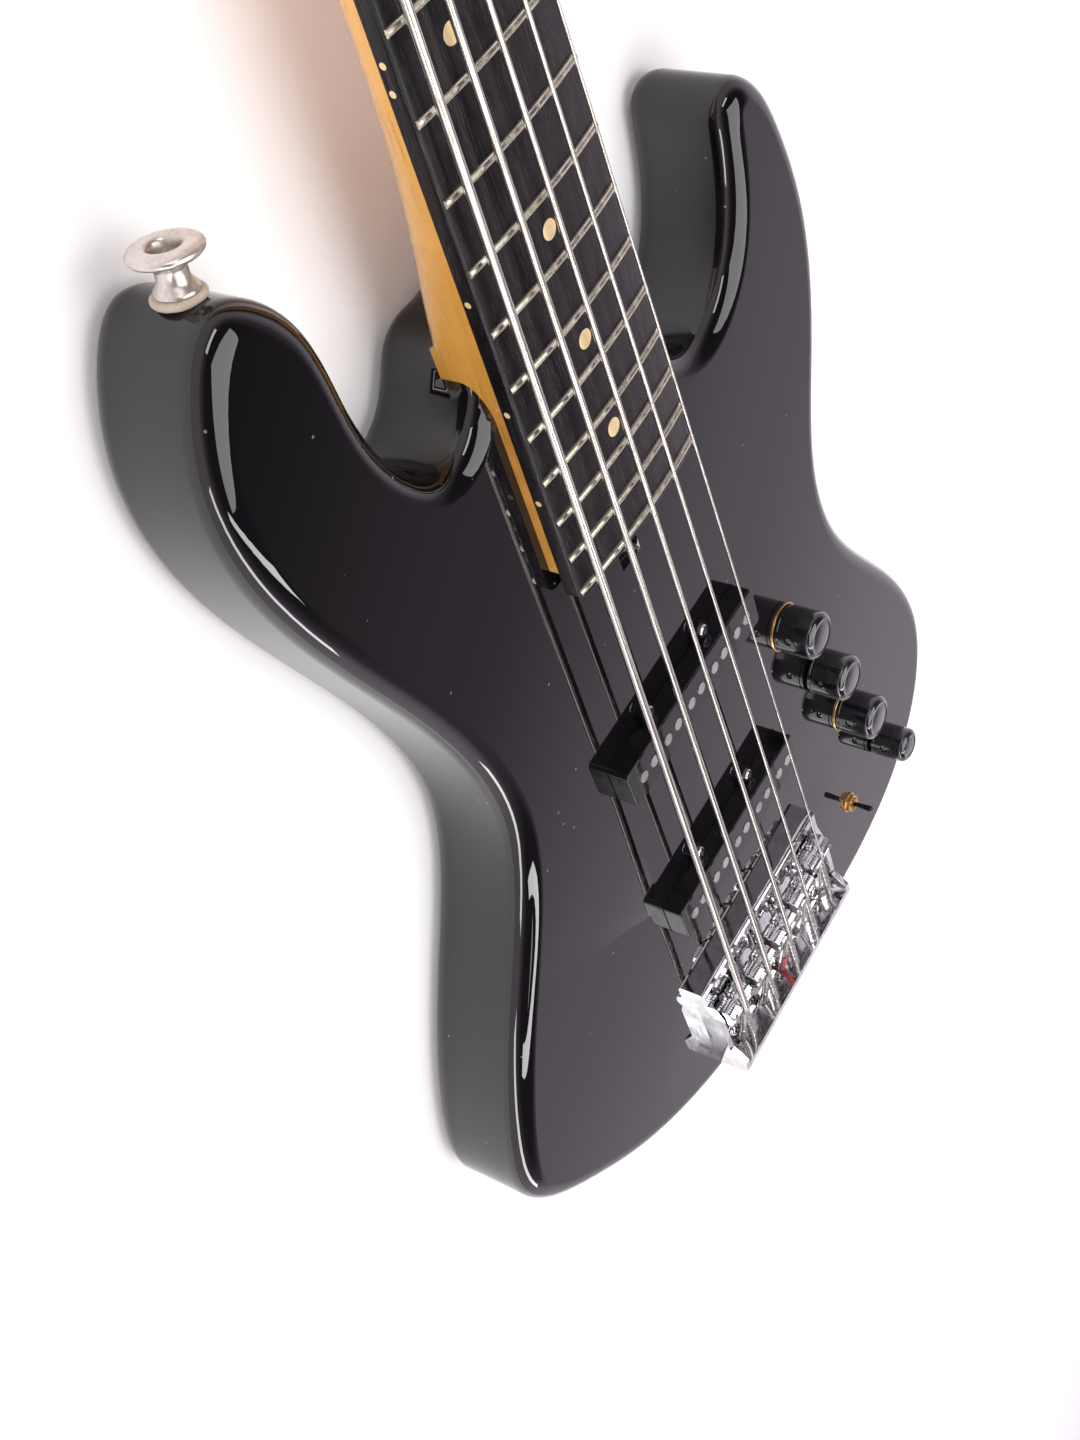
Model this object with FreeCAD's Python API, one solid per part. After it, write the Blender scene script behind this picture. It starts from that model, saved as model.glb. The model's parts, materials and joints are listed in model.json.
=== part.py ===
"""Five-string electric bass guitar with a bolted neck.

Frame, in millimetres: the bass lies on its back. Z = 0 is the flat back of the body and +Z points out of
its face. +Y runs along the neck to the headstock, with y = 0 at the nominal saddle line. +X is the side of
the thinnest string. Each function below makes one sub-part, and each sub-part is written to its own file.
"""

import FreeCAD, Part

import math
import os

V = FreeCAD.Vector
X_AXIS, Y_AXIS, Z_AXIS = V(1, 0, 0), V(0, 1, 0), V(0, 0, 1)

# Strings and scale
SCALE = 863.6                       # saddle line to nut face
STRINGS = ("b", "e", "a", "d", "g")  # thickest first, from -X to +X
STRING_RADIUS = {"b": 1.65, "e": 1.335, "a": 1.08, "d": 0.825, "g": 0.57}
NUT_SPACING = 9.0
SADDLE_SPACING = 19.5
ACTION = 2.8                        # string underside over the last fret
NUT_ACTION = 0.4                    # string underside over the fret plane at the nut
SADDLE_BACK = {"b": 7.0, "e": 5.2, "a": 4.2, "d": 3.0, "g": 1.2}  # intonation set-back of each saddle

# Neck and fingerboard
FRETS = 21
NUT_HALF = 22.9
HALF_GROWTH = 0.02571               # half-width gained per millimetre from the nut to the body
BOARD_RADIUS = 305.0
BOARD_THICK = 7.8                   # at the centre line
BOARD_OVERHANG = 12.5               # board past the end of the maple
BOARD_CORNER = 4.0
BOARD_ROLL = 1.2
HEEL_END = 265.0                    # end of the maple in the pocket
HEEL_THICK = 19.5
NECK_PROUD = 3.5                    # maple above the face of the body
SHAFT_THICK = 13.5                  # maple behind the board at the nut
ROUND = 0.5523                      # pole distance that makes a Bezier a quarter ellipse
CROWN_HIGH, CROWN_WIDE = 1.2, 2.6
TANG_DEEP, TANG_WIDE = 1.8, 0.6
NUT_THICK, NUT_PROUD, NUT_CREST = 4.0, 1.6, 1.5
DOT_RADIUS, SIDE_DOT_RADIUS, DOT_DEEP = 3.2, 1.1, 1.5
SINGLE_DOTS = (3, 5, 7, 9, 15, 17, 19)
DOUBLE_DOT = 12
DOUBLE_DOT_X, DOUBLE_SIDE_Y = 12.0, 4.0
ROD_RADIUS, ROD_NUT_RADIUS, ROD_NUT_LONG, ROD_DEEP = 2.6, 4.0, 17.0, 6.0

# Headstock
HEAD_THICK = 15.0
HEAD_RAMP = 14.0                    # length of the step down from the nut to the headstock's face
HEAD_DROP = 5.5                     # top of the headstock under the board's underside
POST_FIRST, POST_PITCH = 44.0, 33.0  # from the nut along Y
POST_RADIUS = 5.0
POST_HIGH = 17.0                    # above the face of the headstock
BUSHING_WALL, BUSHING_FLANGE, BUSHING_RIM = 1.6, 9.0, 1.4
WRAP_GAP = 0.05
WRAP_TURNS = 3
WRAP_LEVEL = 5.0                    # level run of a string before it meets its post
WRAP_OPEN = 280.0                   # degrees that the top turn goes round before it dips under the run

# Body
BODY_THICK = 44.0
EDGE_ROUND = 9.0
HEEL_WALL_Y = 352.0                 # end wall of the body under the neck
HEEL_WALL_HALF = 18.0
POCKET_GAP = 0.1

# Pickups
NECK_PICKUP_Y, BRIDGE_PICKUP_Y = 159.0, 67.5
PICKUP_HALF_X, PICKUP_HALF_Y = 48.5, 9.3
PICKUP_PROUD, PICKUP_DEEP, PICKUP_WALL = 8.8, 19.0, 1.4
POLE_RADIUS, POLE_PAIR = 2.4, 3.8   # each string has two poles, half a pair either side of it
POLE_SPREAD = {"neck": 18.2, "bridge": 18.6}
EAR_X, EAR_OUT, EAR_RADIUS = 20.8, 12.2, 3.9
END_EAR_OUT = 3.4
PICKUP_SCREW_RADIUS, PICKUP_SCREW_LONG = 1.4, 22.0
FIT_GAP = 0.3

# Bridge
BRIDGE_HALF_X, BRIDGE_FRONT, BRIDGE_BACK = 51.5, 15.0, -46.0
BRIDGE_FLOOR, BRIDGE_WALL_HIGH, BRIDGE_WALL_THICK = 4.0, 15.5, 5.0
BRIDGE_SIDE_THICK, BRIDGE_LIP_LONG, BRIDGE_LIP_HIGH = 3.0, 6.0, 6.5
RIB_WIDE, RIB_HIGH = 1.2, 2.2
SADDLE_RADIUS, SADDLE_LONG, GROOVE_DEEP = 5.25, 17.6, 0.8
GRUB_X, GRUB_RADIUS = 6.9, 1.25
INTONATION_X, INTONATION_RADIUS, INTONATION_HEAD = 4.0, 1.3, 2.1
SCREW_CLEAR = 0.05
SPRING_WIRE, SPRING_RADIUS, SPRING_TURNS = 0.45, 1.75, 9
BALL_RADIUS, BALL_LONG = 3.0, 5.0
BRIDGE_SCREW_RADIUS = 1.9

# Controls
CONTROLS = {                        # x, y, knob radius, knob height
    "volume": (73.0, 115.0, 10.2, 17.0),
    "blend": (87.2, 71.3, 10.2, 17.0),
    "treble": (100.8, 27.5, 10.2, 17.0),
    "bass": (121.0, -18.0, 8.2, 17.0),
}
KNOB_LIFT = 0.8
KNOB_DOME = 2.6
KNOB_WALL = 2.0
SHAFT_RADIUS = 3.0
POT_RADIUS, POT_HIGH = 8.2, 9.0
BUSH_RADIUS, POT_NUT_HALF, POT_NUT_HIGH = 3.9, 5.2, 2.0
TOGGLE_X, TOGGLE_Y = 87.0, -27.5
TOGGLE_BUSH_RADIUS, TOGGLE_BUSH_HIGH, TOGGLE_NUT_HALF = 3.0, 3.6, 4.0
TOGGLE_LEVER_LONG, TOGGLE_LEVER_RADIUS = 11.0, 1.5
TOGGLE_SWING = 12.0
CAVITY_TOP_WALL = 5.0
COVER_THICK, COVER_LIP, COVER_SUNK = 2.0, 6.0, 1.0
CAVITY_CORNERS = ((57, 136), (94, 136), (114, 75), (142, 10), (138, -36), (72, -45), (66, 20), (59, 90))
JACK_Y, JACK_RADIUS, JACK_BORE, JACK_FACE = -6.0, 6.0, 3.25, 11.0

# Fastening and strap hardware
PLATE_HALF_X, PLATE_Y, PLATE_HALF_Y, PLATE_THICK = 25.5, 305.0, 32.0, 1.6
NECK_SCREW_X, NECK_SCREW_Y, NECK_SCREW_RADIUS = 19.0, 25.5, 2.3
BUTTON_SCREW_RADIUS, BUTTON_DEEP = 1.8, 7.5
BUTTON_SCREW_SUNK = 22.0
FELT_RADIUS, FELT_THICK = 7.2, 2.4
BUTTONS = (("horn", V(-104.3, 427.5, 25.5), 78.0), ("tail", V(20.0, -70.6, 22.0), -97.0))

# Heights that follow from the sizes above
NECK_TOP = BODY_THICK + NECK_PROUD
POCKET_FLOOR = NECK_TOP - HEEL_THICK
BOARD_TOP = NECK_TOP + BOARD_THICK
FRET_PLANE = BOARD_TOP + CROWN_HIGH
BOARD_END = HEEL_END - BOARD_OVERHANG
HEAD_TOP = NECK_TOP - HEAD_DROP
HEAD_BACK = HEAD_TOP - HEAD_THICK
BRIDGE_FLOOR_TOP = BODY_THICK + BRIDGE_FLOOR

# Guide points of the body's side, from one end of the heel wall round to the other
BODY_SIDE = (
    (31.5, 348.2), (38.5, 335), (42, 310), (49.5, 286), (69, 270), (93, 278), (107.5, 300), (112.2, 321),
    (116.4, 333.4), (125.6, 337.2), (135, 332.8), (147, 309), (152.5, 265), (142.5, 216.5), (125, 163), (125.5, 132), (150, 77),
    (172, 37), (179.2, 3), (167, -34), (131.5, -63), (80, -74), (20, -70.5), (-46, -58.5), (-105, -31),
    (-143, 2), (-166, 38), (-161, 65), (-127.5, 128), (-97, 190), (-99.5, 232), (-123.5, 305),
    (-138.3, 365), (-129.5, 407.5), (-106, 428.5), (-87.5, 413), (-81.5, 375), (-74, 345), (-58, 329),
    (-42.5, 335), (-31.5, 348.2),
)


def fret_y(number):
    """Distance of a fret from the saddle line."""
    return SCALE * 2 ** (-number / 12)


def half_width(y):
    """Half the width of the neck and board at a distance from the saddle line."""
    return NUT_HALF + (SCALE - y) * HALF_GROWTH


def string_x(index, y):
    """X of a string's centre line."""
    at_nut = (index - 2) * NUT_SPACING
    at_saddle = (index - 2) * SADDLE_SPACING
    return at_saddle + (at_nut - at_saddle) * y / SCALE


def arch_drop(x):
    """How far the arched board falls away at a distance from its centre line."""
    return BOARD_RADIUS - math.sqrt(BOARD_RADIUS ** 2 - x ** 2)


def string_nut_z(index):
    """Height of a string's centre line at the nut."""
    return FRET_PLANE - arch_drop(string_x(index, SCALE)) + NUT_ACTION + STRING_RADIUS[STRINGS[index]]


def string_saddle_z(index):
    """Height of a string's centre line on its saddle, which gives the action over the last fret."""
    last = fret_y(FRETS)
    over_last = FRET_PLANE - arch_drop(string_x(index, last)) + ACTION + STRING_RADIUS[STRINGS[index]]
    nut = string_nut_z(index)
    return nut + (over_last - nut) * SCALE / (SCALE - last)


def saddle_center(index):
    """Centre of a saddle barrel."""
    name = STRINGS[index]
    y = -SADDLE_BACK[name]
    z = string_saddle_z(index) - STRING_RADIUS[name] - (SADDLE_RADIUS - GROOVE_DEEP)
    return V(string_x(index, 0), y, z)


def post_center(index):
    """Centre of a tuner's post on the headstock's face, beside the straight run of its string."""
    y = SCALE + POST_FIRST + POST_PITCH * index
    radius = STRING_RADIUS[STRINGS[index]]
    return V(string_x(index, y) - POST_RADIUS - WRAP_GAP - radius, y, HEAD_TOP)


def box(x0, x1, y0, y1, z0, z1):
    """A block between two corners."""
    return Part.makeBox(x1 - x0, y1 - y0, z1 - z0, V(x0, y0, z0))


def cylinder(radius, length, start, axis=Z_AXIS):
    """A round bar from a start point along an axis."""
    return Part.makeCylinder(radius, length, start, axis)


def tube(outer, inner, length, start, axis=Z_AXIS):
    """A round bar with a hole along it."""
    return cylinder(outer, length, start, axis).cut(cylinder(inner, length, start, axis))


def hexagon(half_flat, height, base, axis=Z_AXIS):
    """A six-sided nut blank."""
    corner = half_flat / math.cos(math.pi / 6)
    turn = FreeCAD.Rotation(Z_AXIS, axis)
    points = []
    for i in range(7):
        angle = math.pi / 3 * i
        points.append(base + turn.multVec(V(corner * math.cos(angle), corner * math.sin(angle), 0)))
    return Part.Face(Part.makePolygon(points)).extrude(axis * height)


def rounded_prism(points, radius, z0, z1):
    """An upright prism on a polygon, with its vertical corners rounded."""
    corners = [V(x, y, z0) for x, y in points]
    solid = Part.Face(Part.makePolygon(corners + corners[:1])).extrude(V(0, 0, z1 - z0))
    upright = [e for e in solid.Edges if abs(e.tangentAt(e.FirstParameter).z) > 0.99]
    return solid.makeFillet(radius, upright)


def pan_screw(radius, head_radius, head_high, length, seat, axis):
    """A round-headed screw whose head sits on a face, with the shank running against the axis."""
    shank = cylinder(radius, length, seat - axis * length, axis)
    head = cylinder(head_radius, head_high, seat, axis)
    rim = [e for e in head.Edges if (e.BoundBox.Center - (seat + axis * head_high)).Length < 1e-6]
    head = head.makeFillet(head_high * 0.6, rim[:1])
    slot_wide = head_radius * 0.3
    across = axis.cross(X_AXIS if abs(axis.x) < 0.9 else Y_AXIS)
    tools = []
    for blade in (across, across.cross(axis)):
        side = blade.cross(axis)
        start = seat + axis * (head_high * 0.5) - blade * head_radius * 0.55 - side * slot_wide / 2
        edge = Part.makePolygon([
            start, start + blade * head_radius * 1.1, start + blade * head_radius * 1.1 + side * slot_wide,
            start + side * slot_wide, start])
        tools.append(Part.Face(edge).extrude(axis * head_high))
    return shank.fuse(head).cut(tools).removeSplitter()


# ---------------------------------------------------------------- body and neck

def body_outline():
    """The plan of the body: one smooth closed curve through its guide points."""
    heel_wall = [(-HEEL_WALL_HALF, HEEL_WALL_Y), (0, HEEL_WALL_Y), (HEEL_WALL_HALF, HEEL_WALL_Y)]
    side = Part.BSplineCurve()
    side.interpolate(Points=[V(x, y, 0) for x, y in heel_wall + list(BODY_SIDE)], PeriodicFlag=True)
    return Part.Wire([side.toShape()])


def side_x_at(y):
    """X of the body's treble side at a given y, below the waist."""
    wire = body_outline()
    ray = Part.makeLine(V(100, y, 0), V(250, y, 0))
    return wire.distToShape(ray)[1][0][0].x


def neck_plan(gap, y0, y1, z0, z1):
    """A tapered prism with the neck's plan, made wider by a gap."""
    points = (
        (-half_width(y0) - gap, y0), (half_width(y0) + gap, y0),
        (half_width(y1) + gap, y1), (-half_width(y1) - gap, y1))
    corners = [V(x, y, z0) for x, y in points]
    return Part.Face(Part.makePolygon(corners + corners[:1])).extrude(V(0, 0, z1 - z0))


def cavity_wire(grow, z):
    """The control cavity's rounded outline, made larger all round by a margin."""
    corner = 9.0
    prism = rounded_prism(CAVITY_CORNERS, corner, z, z + 1)
    wire = min(prism.Faces, key=lambda f: f.CenterOfMass.z).OuterWire
    return wire.makeOffset2D(grow) if grow else wire


def cavity_prism(grow, z0, z1):
    """A prism on the control cavity's outline."""
    return Part.Face(cavity_wire(grow, z0)).extrude(V(0, 0, z1 - z0))


def cover_screw_points():
    """Places of the cavity cover's screws, on its lip outside the cavity."""
    center = V(sum(p[0] for p in CAVITY_CORNERS) / 8, sum(p[1] for p in CAVITY_CORNERS) / 8, 0)
    wire = cavity_wire(COVER_LIP / 2, 0)
    points = []
    for corner in (0, 1, 3, 4, 5, 6):
        target = V(*CAVITY_CORNERS[corner], 0)
        outward = (target - center).normalize()
        ray = Part.makeLine(center, center + outward * 200)
        points.append(wire.distToShape(ray)[1][0][0])
    return points


def neck_screw_points():
    """Places of the four screws that hold the neck."""
    return [V(x, PLATE_Y + y, 0) for x in (-NECK_SCREW_X, NECK_SCREW_X) for y in (-NECK_SCREW_Y, NECK_SCREW_Y)]


def bridge_screw_points():
    """Places of the bridge's wood screws."""
    back = [V(x, BRIDGE_BACK + 12, 0) for x in (-2 * SADDLE_SPACING, 0, 2 * SADDLE_SPACING)]
    front = [V(x, BRIDGE_FRONT - BRIDGE_LIP_LONG - 4, 0) for x in (-SADDLE_SPACING, SADDLE_SPACING)]
    return back + front


def pickup_plan(center_y, gap, z0, z1):
    """A pickup's outline with its four screw ears, made larger by a gap."""
    block = box(-PICKUP_HALF_X - gap, PICKUP_HALF_X + gap, center_y - PICKUP_HALF_Y - gap,
                center_y + PICKUP_HALF_Y + gap, z0, z1)
    upright = [e for e in block.Edges if abs(e.tangentAt(e.FirstParameter).z) > 0.99]
    plan = block.makeFillet(2.2, upright)
    for point in pickup_screw_points(center_y):
        plan = plan.fuse(cylinder(EAR_RADIUS + gap, z1 - z0, V(point.x, point.y, z0)))
        inward = center_y - point.y
        y0, y1 = sorted((point.y, point.y + inward))
        plan = plan.fuse(box(point.x - EAR_RADIUS - gap, point.x + EAR_RADIUS + gap, y0, y1, z0, z1))
    return plan.removeSplitter()


def pickup_screw_points(center_y):
    """Places of one pickup's height screws."""
    return [V(x, center_y + y, 0) for x in (-EAR_X, EAR_X) for y in (-EAR_OUT, EAR_OUT)]


def button_axis(angle):
    """Direction in which a strap button stands out of the edge."""
    return V(math.cos(math.radians(angle)), math.sin(math.radians(angle)), 0)


def make_body():
    """The body, with its pocket, routes, cavity and holes."""
    blank = Part.Face(body_outline()).extrude(V(0, 0, BODY_THICK))
    rims = [e for e in blank.Edges if e.BoundBox.ZLength < 1e-6]
    blank = blank.makeFillet(EDGE_ROUND, rims)
    cavity_top = BODY_THICK - CAVITY_TOP_WALL
    tools = [
        neck_plan(POCKET_GAP, HEEL_END - POCKET_GAP, SCALE / 2, POCKET_FLOOR, BODY_THICK + 1),
        box(-6, 6, HEEL_END - 34, HEEL_END + 1, BODY_THICK - 11, BODY_THICK + 1),
        cavity_prism(0, COVER_THICK, cavity_top),
        cavity_prism(COVER_LIP + FIT_GAP, -1, COVER_SUNK + COVER_THICK),
        rounded_prism(
            ((-PLATE_HALF_X - FIT_GAP, PLATE_Y - PLATE_HALF_Y - FIT_GAP),
             (PLATE_HALF_X + FIT_GAP, PLATE_Y - PLATE_HALF_Y - FIT_GAP),
             (PLATE_HALF_X + FIT_GAP, PLATE_Y + PLATE_HALF_Y + FIT_GAP),
             (-PLATE_HALF_X - FIT_GAP, PLATE_Y + PLATE_HALF_Y + FIT_GAP)), 5, -1, PLATE_THICK + 3),
        cylinder(TOGGLE_BUSH_RADIUS + FIT_GAP, BODY_THICK, V(TOGGLE_X, TOGGLE_Y, cavity_top - 1)),
    ]
    for center_y in (NECK_PICKUP_Y, BRIDGE_PICKUP_Y):
        route_floor = BODY_THICK - PICKUP_DEEP
        tools.append(pickup_plan(center_y, FIT_GAP, route_floor, BODY_THICK + 1))
        for p in pickup_screw_points(center_y):
            tools.append(cylinder(PICKUP_SCREW_RADIUS, 10, V(p.x, p.y, route_floor - 10)))
    for x, y, knob_radius, knob_high in CONTROLS.values():
        tools.append(cylinder(BUSH_RADIUS + FIT_GAP, BODY_THICK, V(x, y, cavity_top - 1)))
    for p in neck_screw_points():
        tools.append(cylinder(NECK_SCREW_RADIUS + FIT_GAP, POCKET_FLOOR + 1, V(p.x, p.y, 0)))
    for p in bridge_screw_points():
        tools.append(cylinder(BRIDGE_SCREW_RADIUS, 22, V(p.x, p.y, BODY_THICK - 21)))
    for p in cover_screw_points():
        tools.append(cylinder(1.2, 9, V(p.x, p.y, COVER_THICK)))
    for name, seat, angle in BUTTONS:
        tools.append(cylinder(BUTTON_SCREW_RADIUS, 26, seat - button_axis(angle) * 24, button_axis(angle)))
        tools.append(cylinder(FELT_RADIUS + 1, 12, seat, button_axis(angle)))
    wire_run = V(PICKUP_HALF_X - 8, BRIDGE_PICKUP_Y, BODY_THICK - PICKUP_DEEP + 5)
    tools.append(cylinder(3, 40, wire_run, X_AXIS))
    between = V(-20, BRIDGE_PICKUP_Y, BODY_THICK - PICKUP_DEEP + 5)
    tools.append(cylinder(3, NECK_PICKUP_Y - BRIDGE_PICKUP_Y, between, Y_AXIS))
    face_x = side_x_at(JACK_Y) - 2.5
    tools.append(cylinder(JACK_RADIUS + FIT_GAP, 60, V(face_x - 59, JACK_Y, BODY_THICK / 2), X_AXIS))
    tools.append(cylinder(JACK_FACE, 20, V(face_x, JACK_Y, BODY_THICK / 2), X_AXIS))
    return blank.cut(tools)


def neck_section(y, top_z, half, depth, corner):
    """A closed cross-section of the neck: flat on top, with quarter ellipses (width, height) at its back corners."""
    low = top_z - depth
    across, high = corner
    curves = []
    for side in (1, -1):
        start, end = V(side * half, y, low + high), V(side * (half - across), y, low)
        curve = Part.BezierCurve()
        curve.setPoles([start, start - Z_AXIS * high * ROUND, end + X_AXIS * side * across * ROUND, end])
        curves.append(curve.toShape())
    right, left = curves
    wall_right = Part.makeLine(V(half, y, top_z), V(half, y, low + high))
    back = Part.makeLine(V(half - across, y, low), V(across - half, y, low))
    wall_left = Part.makeLine(V(-half, y, low + high), V(-half, y, top_z))
    left.reverse()
    return Part.Wire([wall_right, right, back, left, wall_left, Part.makeLine(V(-half, y, top_z), V(half, y, top_z))])


def shaft_corner(y, depth):
    """The corner that makes the back of the shaft an even oval."""
    return half_width(y) * 0.9, depth * 0.88


def head_outline():
    """The plan of the headstock: a plain tapered paddle whose bass edge follows the line of the posts."""
    first, last = post_center(0), post_center(4)
    along = V(last.x - first.x, last.y - first.y, 0).normalize()
    outward = V(-along.y, along.x, 0)
    near = first + outward * 15 - along * 17
    far = last + outward * 15 + along * 20
    neck_y = SCALE + NUT_THICK
    tip_y = far.y + 12
    points = [
        (-half_width(neck_y), neck_y), (near.x, near.y), (far.x, far.y), (far.x + 22, tip_y),
        (34, tip_y - 14), (33, SCALE + 70), (half_width(neck_y), neck_y)]
    return points


def make_neck():
    """The maple neck with its heel, shaft, headstock, rod channel and holes."""
    heel_out = HEEL_WALL_Y + 2
    heel = neck_plan(0, HEEL_END, heel_out, POCKET_FLOOR, NECK_TOP)
    stations = [
        (heel_out - 0.5, HEEL_THICK - 0.1, (3, 3)), (heel_out + 22, HEEL_THICK - 0.9, (8, 8)),
        (heel_out + 50, HEEL_THICK - 2.9, (16, 11)), (heel_out + 85, HEEL_THICK - 4.1, (25, 12.5))]
    for y, depth in (
            (heel_out + 150, HEEL_THICK - 4.4), (SCALE - 150, SHAFT_THICK + 0.8), (SCALE - 12, SHAFT_THICK)):
        stations.append((y, depth, shaft_corner(y, depth)))
    wires = [neck_section(y, NECK_TOP, half_width(y), depth, corner) for y, depth, corner in stations]
    shaft = Part.makeLoft(wires, True, False)
    root_y = SCALE + NUT_THICK + HEAD_RAMP
    throat_wires = [
        neck_section(SCALE - 12, NECK_TOP, half_width(SCALE - 12), SHAFT_THICK, shaft_corner(SCALE - 12, SHAFT_THICK)),
        neck_section(SCALE + NUT_THICK, NECK_TOP, half_width(SCALE), SHAFT_THICK + 2.5, (15, 13)),
        neck_section(root_y, NECK_TOP, half_width(SCALE) - 1, HEAD_DROP + HEAD_THICK - 0.5, (4, 4))]
    throat = Part.makeLoft(throat_wires, True, False)
    nut_back = SCALE + NUT_THICK
    ramp = [
        V(-60, nut_back, NECK_TOP + 1), V(-60, nut_back, NECK_TOP - 0.5), V(-60, root_y - 2, HEAD_TOP),
        V(-60, root_y + 20, HEAD_TOP), V(-60, root_y + 20, NECK_TOP + 1)]
    ramp_cut = Part.Face(Part.makePolygon(ramp + ramp[:1])).extrude(V(120, 0, 0))
    head = rounded_prism(head_outline(), 9.0, HEAD_BACK, HEAD_TOP)
    rims = [e for e in head.Edges if e.BoundBox.ZLength < 1e-6]
    head = head.makeFillet(2.0, rims)
    neck = heel.fuse(shaft).fuse(throat.cut(ramp_cut)).fuse(head)
    rod_z = NECK_TOP - ROD_DEEP
    tools = [
        box(-ROD_RADIUS, ROD_RADIUS, HEEL_END - 1, SCALE - 30, rod_z - ROD_RADIUS, NECK_TOP + 1),
        box(-30, 30, SCALE, SCALE + NUT_THICK, NECK_TOP - 1.5, NECK_TOP + 1)]
    for i in range(len(STRINGS)):
        p = post_center(i)
        tools.append(cylinder(POST_RADIUS + BUSHING_WALL, 60, V(p.x, p.y, HEAD_BACK - 5)))
    for p in neck_screw_points():
        tools.append(cylinder(NECK_SCREW_RADIUS, 15, V(p.x, p.y, POCKET_FLOOR - 1)))
    for p in tuner_screw_points():
        tools.append(cylinder(1.1, 9, V(p.x, p.y, HEAD_BACK - 1)))
    p = retainer_point()
    tools.append(cylinder(1.3, 13, V(p.x, p.y, HEAD_TOP - 12)))
    return neck.cut(tools)


def board_blank():
    """The arched, tapered board before its slots."""
    wires = []
    for y in (BOARD_END, SCALE):
        half = half_width(y)
        edge_z = BOARD_TOP - arch_drop(half)
        top = Part.Arc(V(-half, y, edge_z), V(0, y, BOARD_TOP), V(half, y, edge_z)).toShape()
        a, b = V(half, y, edge_z), V(half, y, NECK_TOP)
        c, d = V(-half, y, NECK_TOP), V(-half, y, edge_z)
        wires.append(Part.Wire([top, Part.makeLine(a, b), Part.makeLine(b, c), Part.makeLine(c, d)]))
    board = Part.makeLoft(wires, True, True)
    ends = [e for e in board.Edges if e.BoundBox.XLength < 0.01 and e.BoundBox.ZLength > 2 and e.BoundBox.YMax < SCALE / 2]
    board = board.makeFillet(BOARD_CORNER, ends)
    rims = [e for e in board.Edges if e.BoundBox.YLength > 500 and e.BoundBox.Center.z > NECK_TOP + 2]
    return board.makeFillet(BOARD_ROLL, rims)


def fret_turn(y, half, profile):
    """A fret-like solid: a profile in the YZ plane, turned about the axis of the board's arch."""
    angle = math.degrees(math.asin(half / BOARD_RADIUS))
    base = V(0, y, BOARD_TOP - BOARD_RADIUS)
    points = [base + V(0, dy, BOARD_RADIUS + dz) for dy, dz in profile]
    face = Part.Face(Part.makePolygon(points + points[:1]))
    face.rotate(base, Y_AXIS, -angle)
    return face.revolve(base, Y_AXIS, 2 * angle)


def fret_profile():
    """The outline of fret wire: a low crown on a narrow tang."""
    half, tang = CROWN_WIDE / 2, TANG_WIDE / 2
    crown = []
    for i in range(9):
        angle = math.pi * i / 8
        crown.append((half * math.cos(angle), CROWN_HIGH * math.sin(angle) ** 0.8))
    return crown + [(-tang, 0), (-tang, -TANG_DEEP), (tang, -TANG_DEEP), (tang, 0)]


def make_frets():
    """All the fret wires, trimmed to the board's edge."""
    frets = []
    for n in range(1, FRETS + 1):
        y = fret_y(n)
        frets.append(fret_turn(y, half_width(y) - 0.5, fret_profile()))
    return Part.makeCompound(frets)


def dot_tools(deep, margin):
    """Cylinders for the face dots and the side dots. A margin makes them longer, to cut their holes."""
    tools = []
    places = [(0, n) for n in SINGLE_DOTS] + [(-DOUBLE_DOT_X, DOUBLE_DOT), (DOUBLE_DOT_X, DOUBLE_DOT)]
    for x, n in places:
        y = (fret_y(n) + fret_y(n - 1)) / 2
        tools.append(cylinder(DOT_RADIUS, deep + 3, V(x, y, BOARD_TOP - arch_drop(x) - deep)))
    side = [(0, n) for n in SINGLE_DOTS] + [(-DOUBLE_SIDE_Y, DOUBLE_DOT), (DOUBLE_SIDE_Y, DOUBLE_DOT)]
    for dy, n in side:
        y = (fret_y(n) + fret_y(n - 1)) / 2 + dy
        start = V(-half_width(y) - margin, y, NECK_TOP + 1.9)
        tools.append(cylinder(SIDE_DOT_RADIUS, deep + margin, start, X_AXIS))
    return tools


def make_board(blank):
    """The fingerboard with fret slots and dot holes."""
    tang = TANG_WIDE / 2
    slots = []
    for n in range(1, FRETS + 1):
        y = fret_y(n)
        profile = ((tang, 2), (-tang, 2), (-tang, -TANG_DEEP), (tang, -TANG_DEEP))
        slots.append(fret_turn(y, half_width(y) - 0.5, profile))
    return blank.cut(slots + dot_tools(DOT_DEEP, 2))


def make_dots(blank):
    """The inlaid dots, flush with the arched face and the side of the board."""
    return Part.makeCompound([t.common(blank) for t in dot_tools(DOT_DEEP, 2)])


def make_nut():
    """The nut, with a slot for each string."""
    half = half_width(SCALE)
    base = NECK_TOP - 1.5
    block = box(-half, half, SCALE, SCALE + NUT_THICK, base, FRET_PLANE + NUT_PROUD + 2)
    arch = cylinder(BOARD_RADIUS + CROWN_HIGH + NUT_PROUD, 20, V(0, SCALE - 5, BOARD_TOP - BOARD_RADIUS), Y_AXIS)
    nut = block.common(arch)
    slots = []
    for i, name in enumerate(STRINGS):
        radius = STRING_RADIUS[name] + 0.08
        crest = V(string_x(i, SCALE), SCALE + NUT_CREST, string_nut_z(i))
        post = post_center(i)
        down = V(string_x(i, post.y), post.y, wrap_height(i)) - crest
        slots.append(cylinder(radius, 20, crest - Y_AXIS * 20, Y_AXIS))
        slots.append(cylinder(radius, 20, crest, down))
        slots.append(box(crest.x - radius, crest.x + radius, SCALE - 5, SCALE + 15, crest.z, crest.z + 6))
    return nut.cut(slots)


def rod_channel_z():
    """Height of the truss rod's centre line."""
    return NECK_TOP - ROD_DEEP


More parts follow.
